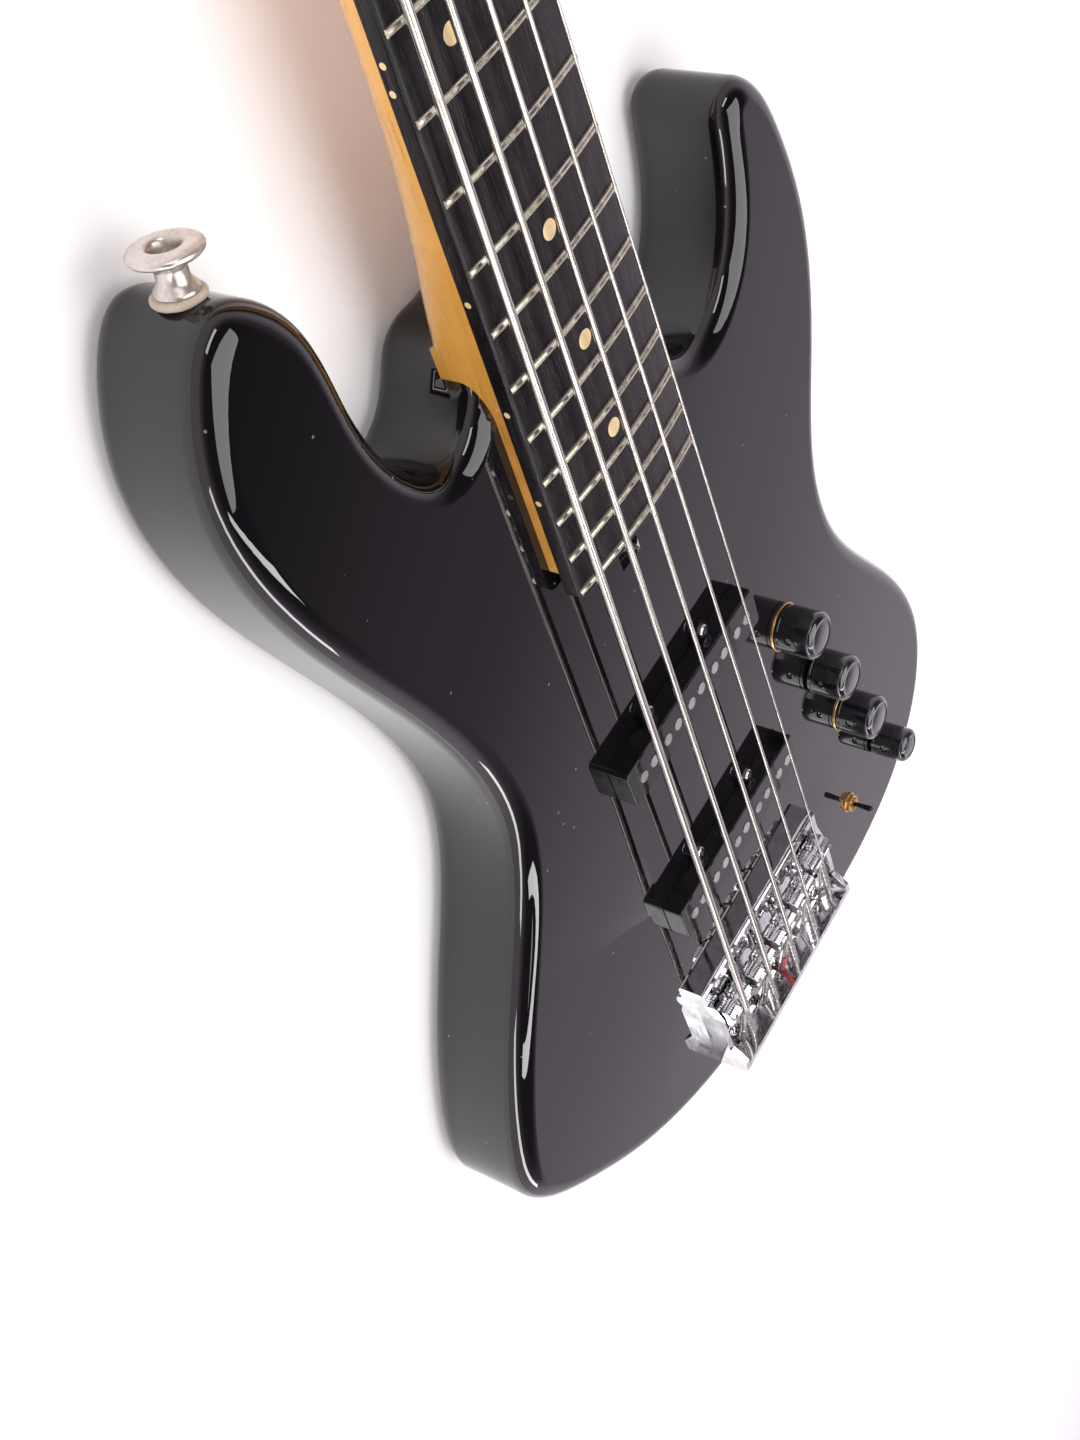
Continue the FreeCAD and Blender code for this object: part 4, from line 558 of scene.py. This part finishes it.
finishes["black_plastic"] = plastic(
    "pickup_plastic", (0.0035, 0.0035, 0.004), (0.008, 0.0075, 0.008), 0.13, 0.27, 2600, 0.00001, 0.0,
    0.012)
finishes["matte_black_plastic"] = plastic("cover_plastic", (0.014, 0.014, 0.015), (0.028, 0.027, 0.026),
                                          0.45, 0.65, 1500, 0.00012)
finishes["black_knob"] = plastic("knob_gloss", (0.006, 0.006, 0.008), (0.018, 0.017, 0.018), 0.1, 0.28,
                                 900, 0.00001, 0.6, 0.05)
finishes["cream_dot"] = plastic("cream_dot", (0.86, 0.66, 0.36), (0.74, 0.52, 0.25), 0.18, 0.35, 500,
                                0.00001)
finishes["bone"] = plastic("bone", (0.82, 0.75, 0.60), (0.70, 0.60, 0.42), 0.25, 0.45, 1200, 0.00002)

# %% [markdown]
# The last few are seen only when the instrument is opened: the windings of the pickups, the foam
# that lifts them, the circuit board and its battery. The felt washer shows beside the strap button, and
# its fibres are rough in every direction.

# %% Windings, foam, board, battery and felt
material, tree, shader = finish("coil_wire", Metallic=0.8)
turns = add(tree, "TexWave", {"wave_type": "BANDS", "bands_direction": "Z"}, Scale=700.0,
            Distortion=1.5, Detail=1.0,
            Vector=stretched(tree, (1, 1, 1)))
# Painted shade: the copper is darkened in the low bands between the turns, so the grooves look shaded.
drive(tree, shader, colour=blend_colour(tree, turns.outputs[1], (0.16, 0.035, 0.012), (0.52, 0.17, 0.06)),
      roughness=spread(tree, turns.outputs[1], 0.0, 1.0, 0.5, 0.25), height=turns.outputs[1],
      relief=0.00008)
finishes["coil_wire"] = material

material, tree, shader = finish("open_foam", Specular_IOR_Level=0.2)
cells = add(tree, "TexVoronoi", {"feature": "DISTANCE_TO_EDGE"}, Scale=900.0,
            Vector=stretched(tree, (1, 1, 1)))
wall = spread(tree, cells.outputs["Distance"], 0.0, 0.12, 1.0, 0.0)
# Painted shade: the hollows of the cells are coloured darker than their raised walls.
drive(tree, shader, colour=blend_colour(tree, wall, (0.010, 0.010, 0.011), (0.075, 0.073, 0.07)),
      roughness=spread(tree, wall, 0.0, 1.0, 0.95, 0.75), height=wall, relief=0.0004, strength=0.9)
finishes["foam"] = material

material, tree, shader = finish("circuit_board", Coat_Weight=0.3, Coat_Roughness=0.15)
tracks = add(tree, "TexBrick", {"offset": 0.35}, Scale=260.0, i5=0.03,
             Vector=stretched(tree, (1.0, 1.0, 1.0)))
tooth = effect(tree, fine_tooth, Scale=1800.0, Detail=2.0)
drive(tree, shader, colour=blend_colour(tree, tracks.outputs["Fac"], (0.012, 0.09, 0.035),
                                        (0.03, 0.20, 0.07)),
      roughness=spread(tree, tooth.outputs["Mask"], 0.0, 1.0, 0.3, 0.5), height=tracks.outputs["Fac"],
      relief=0.00004)
finishes["circuit_board"] = material

material, tree, shader = finish("battery_case", Specular_IOR_Level=0.5)
marks = effect(tree, smudges, Scale=90.0, Sharpness=0.2)
place = add(tree, "SeparateXYZ", i0=add(tree, "TexCoord").outputs["Object"])
low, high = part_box("battery")
band = maths(tree, "GREATER_THAN", place.outputs["Y"], low.y + (high.y - low.y) * 0.62)
drive(tree, shader, colour=blend_colour(tree, band,
    blend_colour(tree, marks.outputs[0], (0.02, 0.021, 0.024), (0.04, 0.04, 0.04)),
                                        blend_colour(tree, marks.outputs[0], (0.62, 0.30, 0.08),
                                                     (0.45, 0.20, 0.05))),
      roughness=spread(tree, marks.outputs[0], 0.0, 1.0, 0.28, 0.5))
finishes["battery_case"] = material

material, tree, shader = finish("cream_felt", Specular_IOR_Level=0.15, Sheen_Weight=0.6,
                                Sheen_Roughness=0.5)
fibres = effect(tree, fine_tooth, Scale=3200.0, Detail=6.0)
clumps = effect(tree, smudges, Scale=420.0, Sharpness=0.1)
drive(tree, shader,
      colour=blend_colour(tree, fibres.outputs["Mask"],
                          blend_colour(tree, clumps.outputs[0], (0.66, 0.52, 0.38), (0.50, 0.36, 0.24)),
                          (0.84, 0.73, 0.60)),
      roughness=spread(tree, fibres.outputs["Mask"], 0.0, 1.0, 0.98, 0.85), height=fibres.outputs["Height"],
      relief=0.0006, strength=1.0)
finishes["cream_felt"] = material

material, tree, shader = finish("studio_floor", Specular_IOR_Level=0.3, Emission_Strength=0.10)
tooth = effect(tree, fine_tooth, Scale=6.0, Detail=3.0)
drive(tree, shader, colour=blend_colour(tree, tooth.outputs["Mask"], (0.90, 0.885, 0.895),
                                        (0.87, 0.85, 0.865)),
      roughness=spread(tree, tooth.outputs["Mask"], 0.0, 1.0, 0.6, 0.75))
floor.data.materials.append(material)
print("finishes:", sorted(finishes))

# %% [markdown]
# ## Finishes on the designed parts
#
# Each designed part names the finish it should have, so one loop dresses them all.

# %% Dress the frame
for part in frame["record"]["subparts"]:
    node, slot_name = nodes.get(part["node"]), part.get("material_slot")
    if node is None or slot_name not in finishes:
        print("no finish for", part["node"], slot_name)
        continue
    node.data.materials.clear()
    node.data.materials.append(finishes[slot_name])

# %% [markdown]
# ## Curved wood and metal, smoothed
#
# A designed part arrives as loose flat triangles. On lacquer, every facet would show as a kink in a
# reflection. So parts with long curves get a skin: a copy whose triangles are welded, given
# soft edges where wood and metal are really broken by sanding or buffing, and shaded by weighted normals
# that keep the flat faces flat right up to the rounds.

# %% Skins
LEVEL = 0.99995


def level_flats(piece, crease):
    """Makes corners shared by a level face and a round next to it point straight up or down."""
    mesh = piece.data
    facing = {}
    for face in mesh.polygons:
        if abs(face.normal.z) > LEVEL:
            for index in face.vertices:
                facing[index] = math.copysign(1.0, face.normal.z)
    aimed = [corner.vector.copy() for corner in mesh.corner_normals]
    for face in mesh.polygons:
        for loop in face.loop_indices:
            up = facing.get(mesh.loops[loop].vertex_index)
            if up is not None and face.normal.z * up > math.cos(crease):
                aimed[loop] = Vector((0, 0, up))
    mesh.normals_split_custom_set(aimed)


def true_rounds(piece, radius, low, high):
    """Aims the corners on a body's wall, and on the rounds above and below it, as the real curve would."""
    mesh = piece.data
    at = [v.co.copy() for v in mesh.vertices]
    level = high - radius
    beside = {}
    for edge in mesh.edges:
        a, b = edge.vertices
        if abs(at[a].z - level) < 2e-6 and abs(at[b].z - level) < 2e-6:
            beside.setdefault(a, []).append(b)
            beside.setdefault(b, []).append(a)
    facing = {}
    for index, (one, two) in ((i, n) for i, n in beside.items() if len(n) == 2):
        before, after = at[index].xy - at[one].xy, at[two].xy - at[index].xy
        along = before.normalized() * after.length + after.normalized() * before.length
        facing[index] = Vector((along.y, -along.x)).normalized()
    pieces = [(at[a].xy, at[b].xy, facing[a], facing[b]) for a, n in beside.items() for b in n
              if a < b and a in facing and b in facing]
    if not pieces:
        return 0
    outward = {}

    def plan_direction(index):
        """The wall's level direction nearest to a corner, and how far off the wall is."""
        if index not in outward:
            place, best = at[index].xy, (1.0, None)
            for start, end, first, last in pieces:
                run = end - start
                share = min(max((place - start).dot(run) / run.length_squared, 0.0), 1.0)
                gap = (start + run * share - place).length
                if gap < best[0]:
                    turn = last if first.dot(last) > 0 else -last
                    best = (gap, first.lerp(turn, share).normalized())
            outward[index] = best
        return outward[index]

    aimed = [corner.vector.copy() for corner in mesh.corner_normals]
    fixed = 0
    for face in mesh.polygons:
        if abs(face.normal.z) > LEVEL:
            continue
        for loop in face.loop_indices:
            index = mesh.loops[loop].vertex_index
            z = at[index].z
            rise = max(z - level, 0) / radius - max(low + radius - z, 0) / radius
            flat_wall = abs(face.normal.z) < 0.02
            if flat_wall and abs(rise) > 0.02:
                continue
            gap, plan = plan_direction(index)
            reach = radius * (1 - math.sqrt(max(1 - rise * rise, 0)))
            if plan is None or abs(gap - reach) > 0.0012:
                continue
            rise = min(max(rise, -1.0), 1.0)
            wide = math.sqrt(1 - rise * rise)
            if plan.dot(aimed[loop].xy) < 0:
                plan = -plan
            want = Vector((plan.x * wide, plan.y * wide, rise))
            if want.dot(aimed[loop]) > 0.86:
                aimed[loop] = want
                fixed += 1
    mesh.normals_split_custom_set(aimed)
    return fixed


def skin(name, node, body, slot, crease=32, edge=0.0, material=None):
    """A welded and smoothed copy of a designed part, with soft edges that are edge metres wide."""
    take(nodes[node])
    copy = nodes[node].copy()
    copy.data = nodes[node].data.copy()
    copy.parent = None
    for key in [k for k in copy.keys() if k.startswith("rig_")]:
        del copy[key]
    bpy.context.scene.collection.objects.link(copy)
    copy.name = copy.data.name = name
    choose(copy, "FACE", lambda place, normal: True)
    bpy.ops.mesh.remove_doubles(threshold=2e-6)
    take(copy)
    if edge:
        bpy.ops.object.modifier_add(type="BEVEL")
        bevel = copy.modifiers[-1]
        bevel.width, bevel.segments, bevel.limit_method = edge, 2, "ANGLE"
        bevel.angle_limit = math.radians(crease + 8)
        bevel.harden_normals = False
    bpy.ops.object.shade_smooth_by_angle(angle=math.radians(crease))
    bpy.ops.object.modifier_add(type="WEIGHTED_NORMAL")
    copy.modifiers[-1].keep_sharp = True
    apply_modifiers(copy)
    level_flats(copy, math.radians(crease))
    return finish_piece(copy, body, slot, material or finishes[slot], node)


BODY_ROUND, BODY_HIGH = 0.009, 0.044
lacquered = skin("body_lacquered", "body", "root", "black_lacquer", crease=40)
print("body corners aimed:", true_rounds(lacquered, BODY_ROUND, 0.0, BODY_HIGH))
skin("neck_shaped", "neck", "root", "maple", crease=28)
skin("pickup_cover_neck_moulded", "neck_pickup_cover", "root", "black_plastic", crease=24)
skin("pickup_cover_bridge_moulded", "bridge_pickup_cover", "root", "black_plastic", crease=24)
skin("bridge_plate_buffed", "bridge_base", "root", "chrome", crease=24)
skin("fingerboard_rolled", "fingerboard", "root", "dark_board", edge=0.0003)
skin("neck_plate_buffed", "neck_plate", "root", "chrome", edge=0.0005)
skin("nut_shaped", "nut", "root", "bone", edge=0.0003)
skin("tuner_plates_buffed", "tuner_plates", "root", "chrome", edge=0.0003)
for string in "beadg":
    skin(f"tuner_key_{string}_cast", f"tuner_key_{string}", f"tuner_key_{string}", "chrome", edge=0.0007)
    skin(f"tuner_post_{string}_turned", f"tuner_post_{string}", f"tuner_post_{string}", "chrome",
         edge=0.0002)

# %% [markdown]
# ## Wound strings
#
# A bass string is a steel core with nickel wire wound tightly round it, so its outline is a row of tiny
# beads. One bead is modelled as a short ridged tube. An Array modifier repeats it for the string's
# length and a Curve modifier bends the row over the saddle and nut and down the tuner's post. That keeps
# every turn real, at the gauge of each string, without modelling thousands of them by hand.

# %% One string's route
SCALE = 0.8636
NUT_CREST = 0.0015
WRAP_LEVEL = 0.005
POST_RADIUS = 0.00505
BALL_LIFT = 0.0044
STRING_ORDER = ("b", "e", "a", "d", "g")
GAUGE_RADIUS = {"b": 0.00165, "e": 0.001335, "a": 0.00108, "d": 0.000825, "g": 0.00057}
BEAD_PITCH = {"b": 0.00090, "e": 0.00080, "a": 0.00072, "d": 0.00064, "g": 0.00056}
NUT_SPACING = 0.009
SADDLE_RADIUS, GROOVE_DEEP = 0.00525, 0.0008
BODY_TOP = 0.044
joint_place = {j["name"]: Vector(j["pos_m"]) for j in frame["joints"] if "pos_m" in j}


def barrel_middle(string):
    """Centre of a saddle's barrel. Its box also holds the height screws, so its middle is measured from its back."""
    low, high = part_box(f"saddle_{string}")
    return Vector(((low.x + high.x) / 2, (low.y + high.y) / 2, high.z - 0.0004 - SADDLE_RADIUS))


def string_route(string):
    """Guide points of a string's centre line, from its ball end to the last turn on its post."""
    radius = GAUGE_RADIUS[string]
    place = STRING_ORDER.index(string)
    saddle = barrel_middle(string)
    crest_z = saddle.z + SADDLE_RADIUS - GROOVE_DEEP + radius
    back_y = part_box("bridge_base")[0].y - 0.003
    ball = Vector((saddle.x, back_y, BODY_TOP + BALL_LIFT))
    nut = Vector(((place - 2) * NUT_SPACING, SCALE + NUT_CREST, NUT_Z[string]))
    post = joint_place[f"post_turn_{string}"]
    wrap_z = post.z + 0.0115 - radius * 0.4
    ring = POST_RADIUS + radius
    points = [ball, ball.lerp(Vector((saddle.x, saddle.y, crest_z)), 0.5)]
    points += [Vector((saddle.x, saddle.y - 0.006, crest_z - 0.0028)),
               Vector((saddle.x, saddle.y - 0.0012, crest_z))]
    start = Vector((saddle.x, saddle.y + 0.004, crest_z))
    points += [start, start.lerp(nut, 0.5), nut - (nut - start).normalized() * 0.004, nut]
    flat = Vector((post.x + ring - nut.x, post.y - nut.y, 0)).normalized()
    side = Vector((flat.y, -flat.x, 0))
    touch = Vector((post.x, post.y, wrap_z)) + side * ring
    level = touch - flat * WRAP_LEVEL
    points += [nut.lerp(level, 0.06), nut.lerp(level, 0.9), level, touch]
    steps = 20
    start_angle = math.atan2(side.y, side.x)
    for step in range(1, int(steps * POST_TURNS) + 1):
        angle = start_angle + 2 * math.pi * step / steps
        drop = (radius * 2 + 0.0001) * max(0.0, step / steps - 0.12)
        points.append(Vector((post.x + ring * math.cos(angle), post.y + ring * math.sin(angle),
                              wrap_z - drop)))
    return points


NUT_Z = {"b": 0.058018, "e": 0.058102, "a": 0.05798, "d": 0.057592, "g": 0.056938}
POST_TURNS = 2.6


def guide_curve(name, points):
    """A smooth curve through guide points, used only to bend a row of beads."""
    data = bpy.data.curves.new(name, "CURVE")
    data.dimensions = "3D"
    data.resolution_u = 8
    spline = data.splines.new("NURBS")
    spline.points.add(len(points) - 1)
    for point, place in zip(spline.points, points):
        point.co = (*place, 1)
    spline.order_u = 3
    spline.use_endpoint_u = True
    curve = bpy.data.objects.new(name, data)
    bpy.context.scene.collection.objects.link(curve)
    return curve


def bead(name, radius, pitch, depth, sides=10):
    """One turn of winding: a short tube along +X that swells in its middle."""
    clear()
    bpy.ops.mesh.primitive_circle_add(vertices=sides, radius=radius - depth, location=(0, 0, 0),
                                      rotation=(0, math.pi / 2, 0))
    piece = name_it(name)
    bpy.ops.object.transform_apply(location=True, rotation=True, scale=True)
    bpy.ops.object.mode_set(mode="EDIT")
    bpy.ops.mesh.select_mode(type="VERT")
    bpy.ops.mesh.select_all(action="SELECT")
    for share in (radius / (radius - depth), (radius - depth) / radius):
        bpy.ops.mesh.extrude_region_move(TRANSFORM_OT_translate={"value": (pitch / 2, 0, 0)})
        bpy.ops.transform.resize(value=(1, share, share), center_override=(0, 0, 0))
    bpy.ops.object.mode_set(mode="OBJECT")
    return piece


def wound(name, points, radius, pitch, depth, sides=10):
    """A wound string or sleeve along guide points, closed at both ends."""
    route = guide_curve(name + "_route", points)
    length = route.data.splines[0].calc_length()
    piece = bead(name, radius, pitch, depth, sides)
    take(piece)
    bpy.ops.object.modifier_add(type="ARRAY")
    row = piece.modifiers[-1]
    row.use_relative_offset, row.use_constant_offset = False, True
    row.constant_offset_displace = (pitch, 0, 0)
    row.count = int(length / pitch)
    row.use_merge_vertices, row.merge_threshold = True, 1e-6
    bpy.ops.object.modifier_apply(modifier=row.name)
    last = row_end = max(v.co.x for v in piece.data.vertices)
    for end in (0.0, row_end):
        choose(piece, "EDGE", lambda place: abs(place.x - end) < 1e-7)
        bpy.ops.mesh.edge_face_add()
    take(piece)
    bpy.ops.object.modifier_add(type="CURVE")
    piece.modifiers[-1].object = route
    piece.modifiers[-1].deform_axis = "POS_X"
    bpy.ops.object.modifier_apply(modifier=piece.modifiers[-1].name)
    bpy.data.objects.remove(route)
    choose(piece, "FACE", lambda place, normal: True)
    bpy.ops.mesh.normals_make_consistent(inside=False)
    take(piece)
    bpy.ops.object.shade_smooth_by_angle(angle=math.radians(60))
    print(f"{name}: {length * 1000:.0f} mm, {row_end / pitch:.0f} turns")
    return piece

# %% Wind the five strings
for string in STRING_ORDER:
    radius = GAUGE_RADIUS[string]
    piece = wound(f"string_{string}", string_route(string), radius, BEAD_PITCH[string],
                  BEAD_PITCH[string] * 0.13)
    finish_piece(piece, "root", "string_steel", finishes["string_steel"], "strings")

# %% [markdown]
# Each string ends in a small brass spool, held by the core wire twisted back over the winding. The
# twist is a short sleeve with a coarser pitch, and one string has the red silk that makers wrap there.

# %% Ball ends and twisted ends
BALL_PROFILE = ((0.9, 0), (2.6, 0), (2.95, 0.35), (2.95, 1.0), (2.3, 1.6), (2.1, 2.5), (2.3, 3.4),
                (2.95, 4.0),
                (2.95, 4.65), (2.6, 5.0), (0.9, 5.0), (0.9, 4.7), (0.01, 4.7))
ball_blank = turned("ball_blank", BALL_PROFILE, 28)
smooth(ball_blank)
for string in STRING_ORDER:
    end = string_route(string)[0]
    lie_across = Matrix.Translation(end - Vector((0.0025, 0, 0))) @ Matrix.Rotation(math.pi / 2, 4, "Y")
    finish_piece(another(ball_blank, f"ball_end_{string}", lie_across), "root", "brass", finishes["brass"])
bpy.data.objects.remove(ball_blank)

material, tree, shader = finish("red_silk", Specular_IOR_Level=0.3, Sheen_Weight=0.4)
threads = add(tree, "TexWave", {"wave_type": "BANDS", "bands_direction": "DIAGONAL"}, Scale=900.0,
              Distortion=2.0,
              Detail=2.0, Vector=stretched(tree, (1, 1, 1)))
drive(tree, shader, colour=blend_colour(tree, threads.outputs[1], (0.20, 0.006, 0.010),
                                        (0.55, 0.03, 0.035)),
      roughness=spread(tree, threads.outputs[1], 0.0, 1.0, 0.8, 0.55), height=threads.outputs[1],
      relief=0.0001)
for string in STRING_ORDER:
    route = string_route(string)
    begin, finish_at = route[0].lerp(route[1], 0.35), route[0].lerp(route[1], 0.95)
    silky = string == "a"
    sleeve = wound(f"string_end_{string}", [begin, begin.lerp(finish_at, 0.5), finish_at],
                   GAUGE_RADIUS[string] + 0.00028, 0.0005 if silky else 0.0011,
                   0.00012 if silky else 0.00025)
    finish_piece(sleeve, "root", "string_steel", material if silky else finishes["string_steel"])

# %% [markdown]
# ## Knobs
#
# The knobs are turned from solid plastic: a shallow groove above the foot, straight glossy
# sides, and a wide rounded rim that catches the light. A small screw in the side grips the shaft.

# %% Turn the knobs
def knob_profile(radius):
    """Steps of a knob's outside, in millimetres from its underside."""
    r = radius
    return ((r - 2.0, 2.6), (r - 2.0, 0.0), (r - 0.5, 0.0), (r - 0.1, 0.3), (r - 0.1, 1.2),
            (r - 0.35, 1.45), (r - 0.35, 1.7),
            (r, 2.0), (r, 2.4), (r, 8.0), (r, 14.4), (r - 0.12, 15.0), (r - 0.45, 15.6), (r - 1.0, 16.15),
            (r - 1.7, 16.55), (r - 2.3, 16.75), (r - 2.6, 16.72), (r - 2.9, 16.6), (r - 4.0, 16.62),
            (r / 2, 16.8),
            (1.0, 16.95), (0.01, 16.95))


def drill(piece, place, along, radius, depth):
    """Cuts a round hole with a Boolean modifier. The hole starts at place and runs along a direction."""
    clear()
    bpy.ops.mesh.primitive_cylinder_add(vertices=24, radius=radius, depth=depth)
    cutter = name_it("drill")
    put(cutter, Matrix.Translation(place + along * depth / 2) @ along.to_track_quat("Z",
        "Y").to_matrix().to_4x4())
    take(piece)
    bpy.ops.object.modifier_add(type="BOOLEAN")
    piece.modifiers[-1].object = cutter
    piece.modifiers[-1].solver = "EXACT"
    bpy.ops.object.modifier_apply(modifier=piece.modifiers[-1].name)
    bpy.data.objects.remove(cutter)
    return piece


GRUB_PROFILE = ((1.45, 0.0), (1.45, 3.6), (1.2, 3.85), (0.75, 3.85), (0.7, 2.6), (0.01, 2.6))
grub_blank = smooth(turned("grub_blank", GRUB_PROFILE, 24))
TOWARDS_PLAYER = Vector((-1, 0.35, 0)).normalized()
for control in ("volume", "blend", "treble", "bass"):
    low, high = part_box(f"{control}_knob")
    axis = joint_place[f"{control}_turn"]
    radius = (high.x - low.x) / 2
    foot = BODY_TOP + 0.0008
    knob = turned(f"{control}_knob_turned", knob_profile(radius * 1000), 64)
    put(knob, Matrix.Translation((axis.x, axis.y, foot)))
    hole = Vector((axis.x, axis.y, foot + 0.0065)) + TOWARDS_PLAYER * (radius + 0.001)
    drill(knob, hole, -TOWARDS_PLAYER, 0.0016, 0.005)
    smooth(knob, 24)
    finish_piece(knob, f"{control}_knob", "black_knob", finishes["black_knob"], f"{control}_knob")
    seat = Vector((axis.x, axis.y, foot + 0.0065)) + TOWARDS_PLAYER * (radius - 0.0048)
    grub = another(grub_blank, f"{control}_knob_screw",
                   Matrix.Translation(seat) @ TOWARDS_PLAYER.to_track_quat("Z", "Y").to_matrix().to_4x4())
    finish_piece(grub, f"{control}_knob", "steel", finishes["steel"])
bpy.data.objects.remove(grub_blank)

# %% [markdown]
# Two of the knobs stand on a thin brass washer. It shows as a bright line round the knob's foot, so it is
# turned a little wider than the knob.

# %% Turn the washers
for control in ("volume", "treble"):
    low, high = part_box(f"{control}_knob")
    axis = joint_place[f"{control}_turn"]
    r = (high.x - low.x) * 500
    washer = smooth(turned(f"{control}_washer",
                           ((r - 3, 0.0), (r + 0.5, 0.0), (r + 0.5, 0.35), (r + 0.3, 0.6), (r - 3, 0.7),
                                                 (0.01, 0.7)), 64), 30)
    put(washer, Matrix.Translation((axis.x, axis.y, BODY_TOP)))
    finish_piece(washer, "root", "brass", finishes["brass"])

# %% [markdown]
# ## Saddles
#
# Each saddle is a threaded barrel: fine grooves run round it so that a string can't creep sideways,
# and a deeper one at the middle holds the string. The barrel is turned on its own axis, laid across the
# bridge, and drilled for the long screw that sets its distance. Two height screws stand in it.

# %% Turn the saddles
SADDLE_LONG = 17.6
RIDGE_PITCH = 1.1


def barrel_profile(gauge):
    """Steps of a saddle barrel in millimetres, with a round string groove that fits a string's radius."""
    full, deep = SADDLE_RADIUS * 1000, (SADDLE_RADIUS - GROOVE_DEEP) * 1000
    fit = gauge * 1.12 + 0.05
    side = []
    for share in (1.0, 0.85, 0.6, 0.3):
        drop = fit * share
        rise = fit - math.sqrt(max(fit * fit - drop * drop, 0))
        side.append((min(full, deep + rise - 0.03), drop))
    inner = max(d for r, d in side) + 0.25
    steps = [(full - 0.5, 0.0), (full, 0.5)]
    at = 1.0
    half = SADDLE_LONG / 2
    while half - at > inner + RIDGE_PITCH:
        steps += [(full, at), (full - 0.28, at + 0.25), (full - 0.28, at + 0.45), (full, at + 0.7)]
        at += RIDGE_PITCH
    steps += [(full, half - inner)] + [(r, half - d) for r, d in side] + [(deep - 0.03, half)]
    mirrored = [(r, SADDLE_LONG - h) for r, h in reversed(steps[:-1])]
    return [(0.01, 0.0)] + steps + mirrored + [(0.01, SADDLE_LONG)]


STAND_PROFILE = [(0.6, 0.0), (1.0, 0.3)] + [
    (1.22 if step % 2 else 1.05, 0.5 + step * 0.25) for step in range(24)] + [
    (1.22, 6.6), (1.1, 6.9), (0.7, 6.95), (0.62, 5.6), (0.01, 5.6)]
stand_blank = smooth(turned("stand_blank", STAND_PROFILE, 20))
stand_tall = 0.00695
for string in STRING_ORDER:
    place = barrel_middle(string)
    barrel = turned(f"saddle_{string}_barrel", barrel_profile(GAUGE_RADIUS[string] * 1000), 56)
    put(barrel, Matrix.Translation(place - Vector((SADDLE_LONG / 2000, 0,
                                                   0))) @ Matrix.Rotation(math.pi / 2, 4, "Y"))
    tunnel = Vector((place.x + 0.004, place.y - 0.008, place.z))
    drill(barrel, tunnel, Vector((0, 1, 0)), 0.00145, 0.016)
    smooth(barrel, 30)
    finish_piece(barrel, f"saddle_{string}", "chrome", finishes["chrome"], f"saddle_{string}")
    low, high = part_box(f"saddle_{string}")
    for side, word in ((-1, "bass"), (1, "treble")):
        tall = (high.z - low.z) / stand_tall
        stand = another(stand_blank, f"saddle_{string}_height_screw_{word}",
                        Matrix.Translation((place.x + side * 0.0069, place.y,
                                            low.z)) @ Matrix.Diagonal((1, 1, tall, 1)))
        finish_piece(stand, f"saddle_{string}", "steel", finishes["steel"])
bpy.data.objects.remove(stand_blank)

# %% [markdown]
# ## Strap buttons and their felts
#
# A strap button is a turned spool with a deep countersunk hole for its screw. It is satin nickel,
# worn smooth at the lip where the strap rubs. Under it sits a disc of cream felt, squashed a little by
# the screw, with loose fibres round its edge. The felt is a turned disc whose points are then
# scattered, because real felt has no clean outline.

# %% Turn the buttons and cut the felts
BUTTON_PROFILE = ((1.95, 0.0), (5.9, 0.0), (6.3, 0.35), (6.3, 0.95), (6.0, 1.35), (5.5, 1.9),
                  (5.0, 2.6), (4.6, 3.4),
                  (4.4, 4.3), (4.4, 6.3), (4.6, 7.2), (5.2, 8.0), (6.6, 8.8), (8.6, 9.5), (9.7, 10.0),
                  (10.25, 10.6),
                  (10.4, 11.2), (10.25, 11.8), (9.7, 12.3), (8.6, 12.7), (7.0, 12.95), (5.7, 12.9),
                  (5.0, 12.6),
                  (4.6, 12.0), (4.3, 11.0), (4.05, 9.8), (4.0, 7.6), (1.95, 7.5), (0.01, 7.5))
FELT_PROFILE = ((0.01, 0.0), (6.6, 0.0), (7.2, 0.3), (7.55, 0.8), (7.65, 1.3), (7.5, 1.8), (7.1, 2.2),
                (6.6, 2.4), (5.0, 2.42), (0.01, 2.4))
BUTTON_SEATS = {"horn": ((-0.1043, 0.4275, 0.0255), 78.0), "tail": ((0.020, -0.0706, 0.022), -97.0)}
FELT_THICK = 0.0024
button_blank = smooth(turned("button_blank", BUTTON_PROFILE, 72), 40)
felt_blank = turned("felt_blank", FELT_PROFILE, 72)
choose(felt_blank, "FACE", lambda place, normal: place.xy.length > 0.0055)
bpy.ops.mesh.subdivide(number_cuts=2)
bpy.ops.mesh.vertices_smooth(factor=0.5, repeat=1)
bpy.ops.transform.vertex_random(offset=0.00016, seed=4)
smooth(felt_blank, 70)
for name, (seat, degrees) in BUTTON_SEATS.items():
    out_of_wood = Vector((math.cos(math.radians(degrees)), math.sin(math.radians(degrees)), 0))
    face = out_of_wood.to_track_quat("Z", "Y").to_matrix().to_4x4()
    finish_piece(another(felt_blank, f"{name}_felt", Matrix.Translation(Vector(seat)) @ face),
                 "root", "cream_felt", finishes["cream_felt"], "strap_felts")
    finish_piece(another(button_blank, f"{name}_strap_button",
                         Matrix.Translation(Vector(seat) + out_of_wood * FELT_THICK) @ face),
                 "root", "satin_nickel", finishes["satin_nickel"], "strap_buttons")
bpy.data.objects.remove(button_blank)
bpy.data.objects.remove(felt_blank)
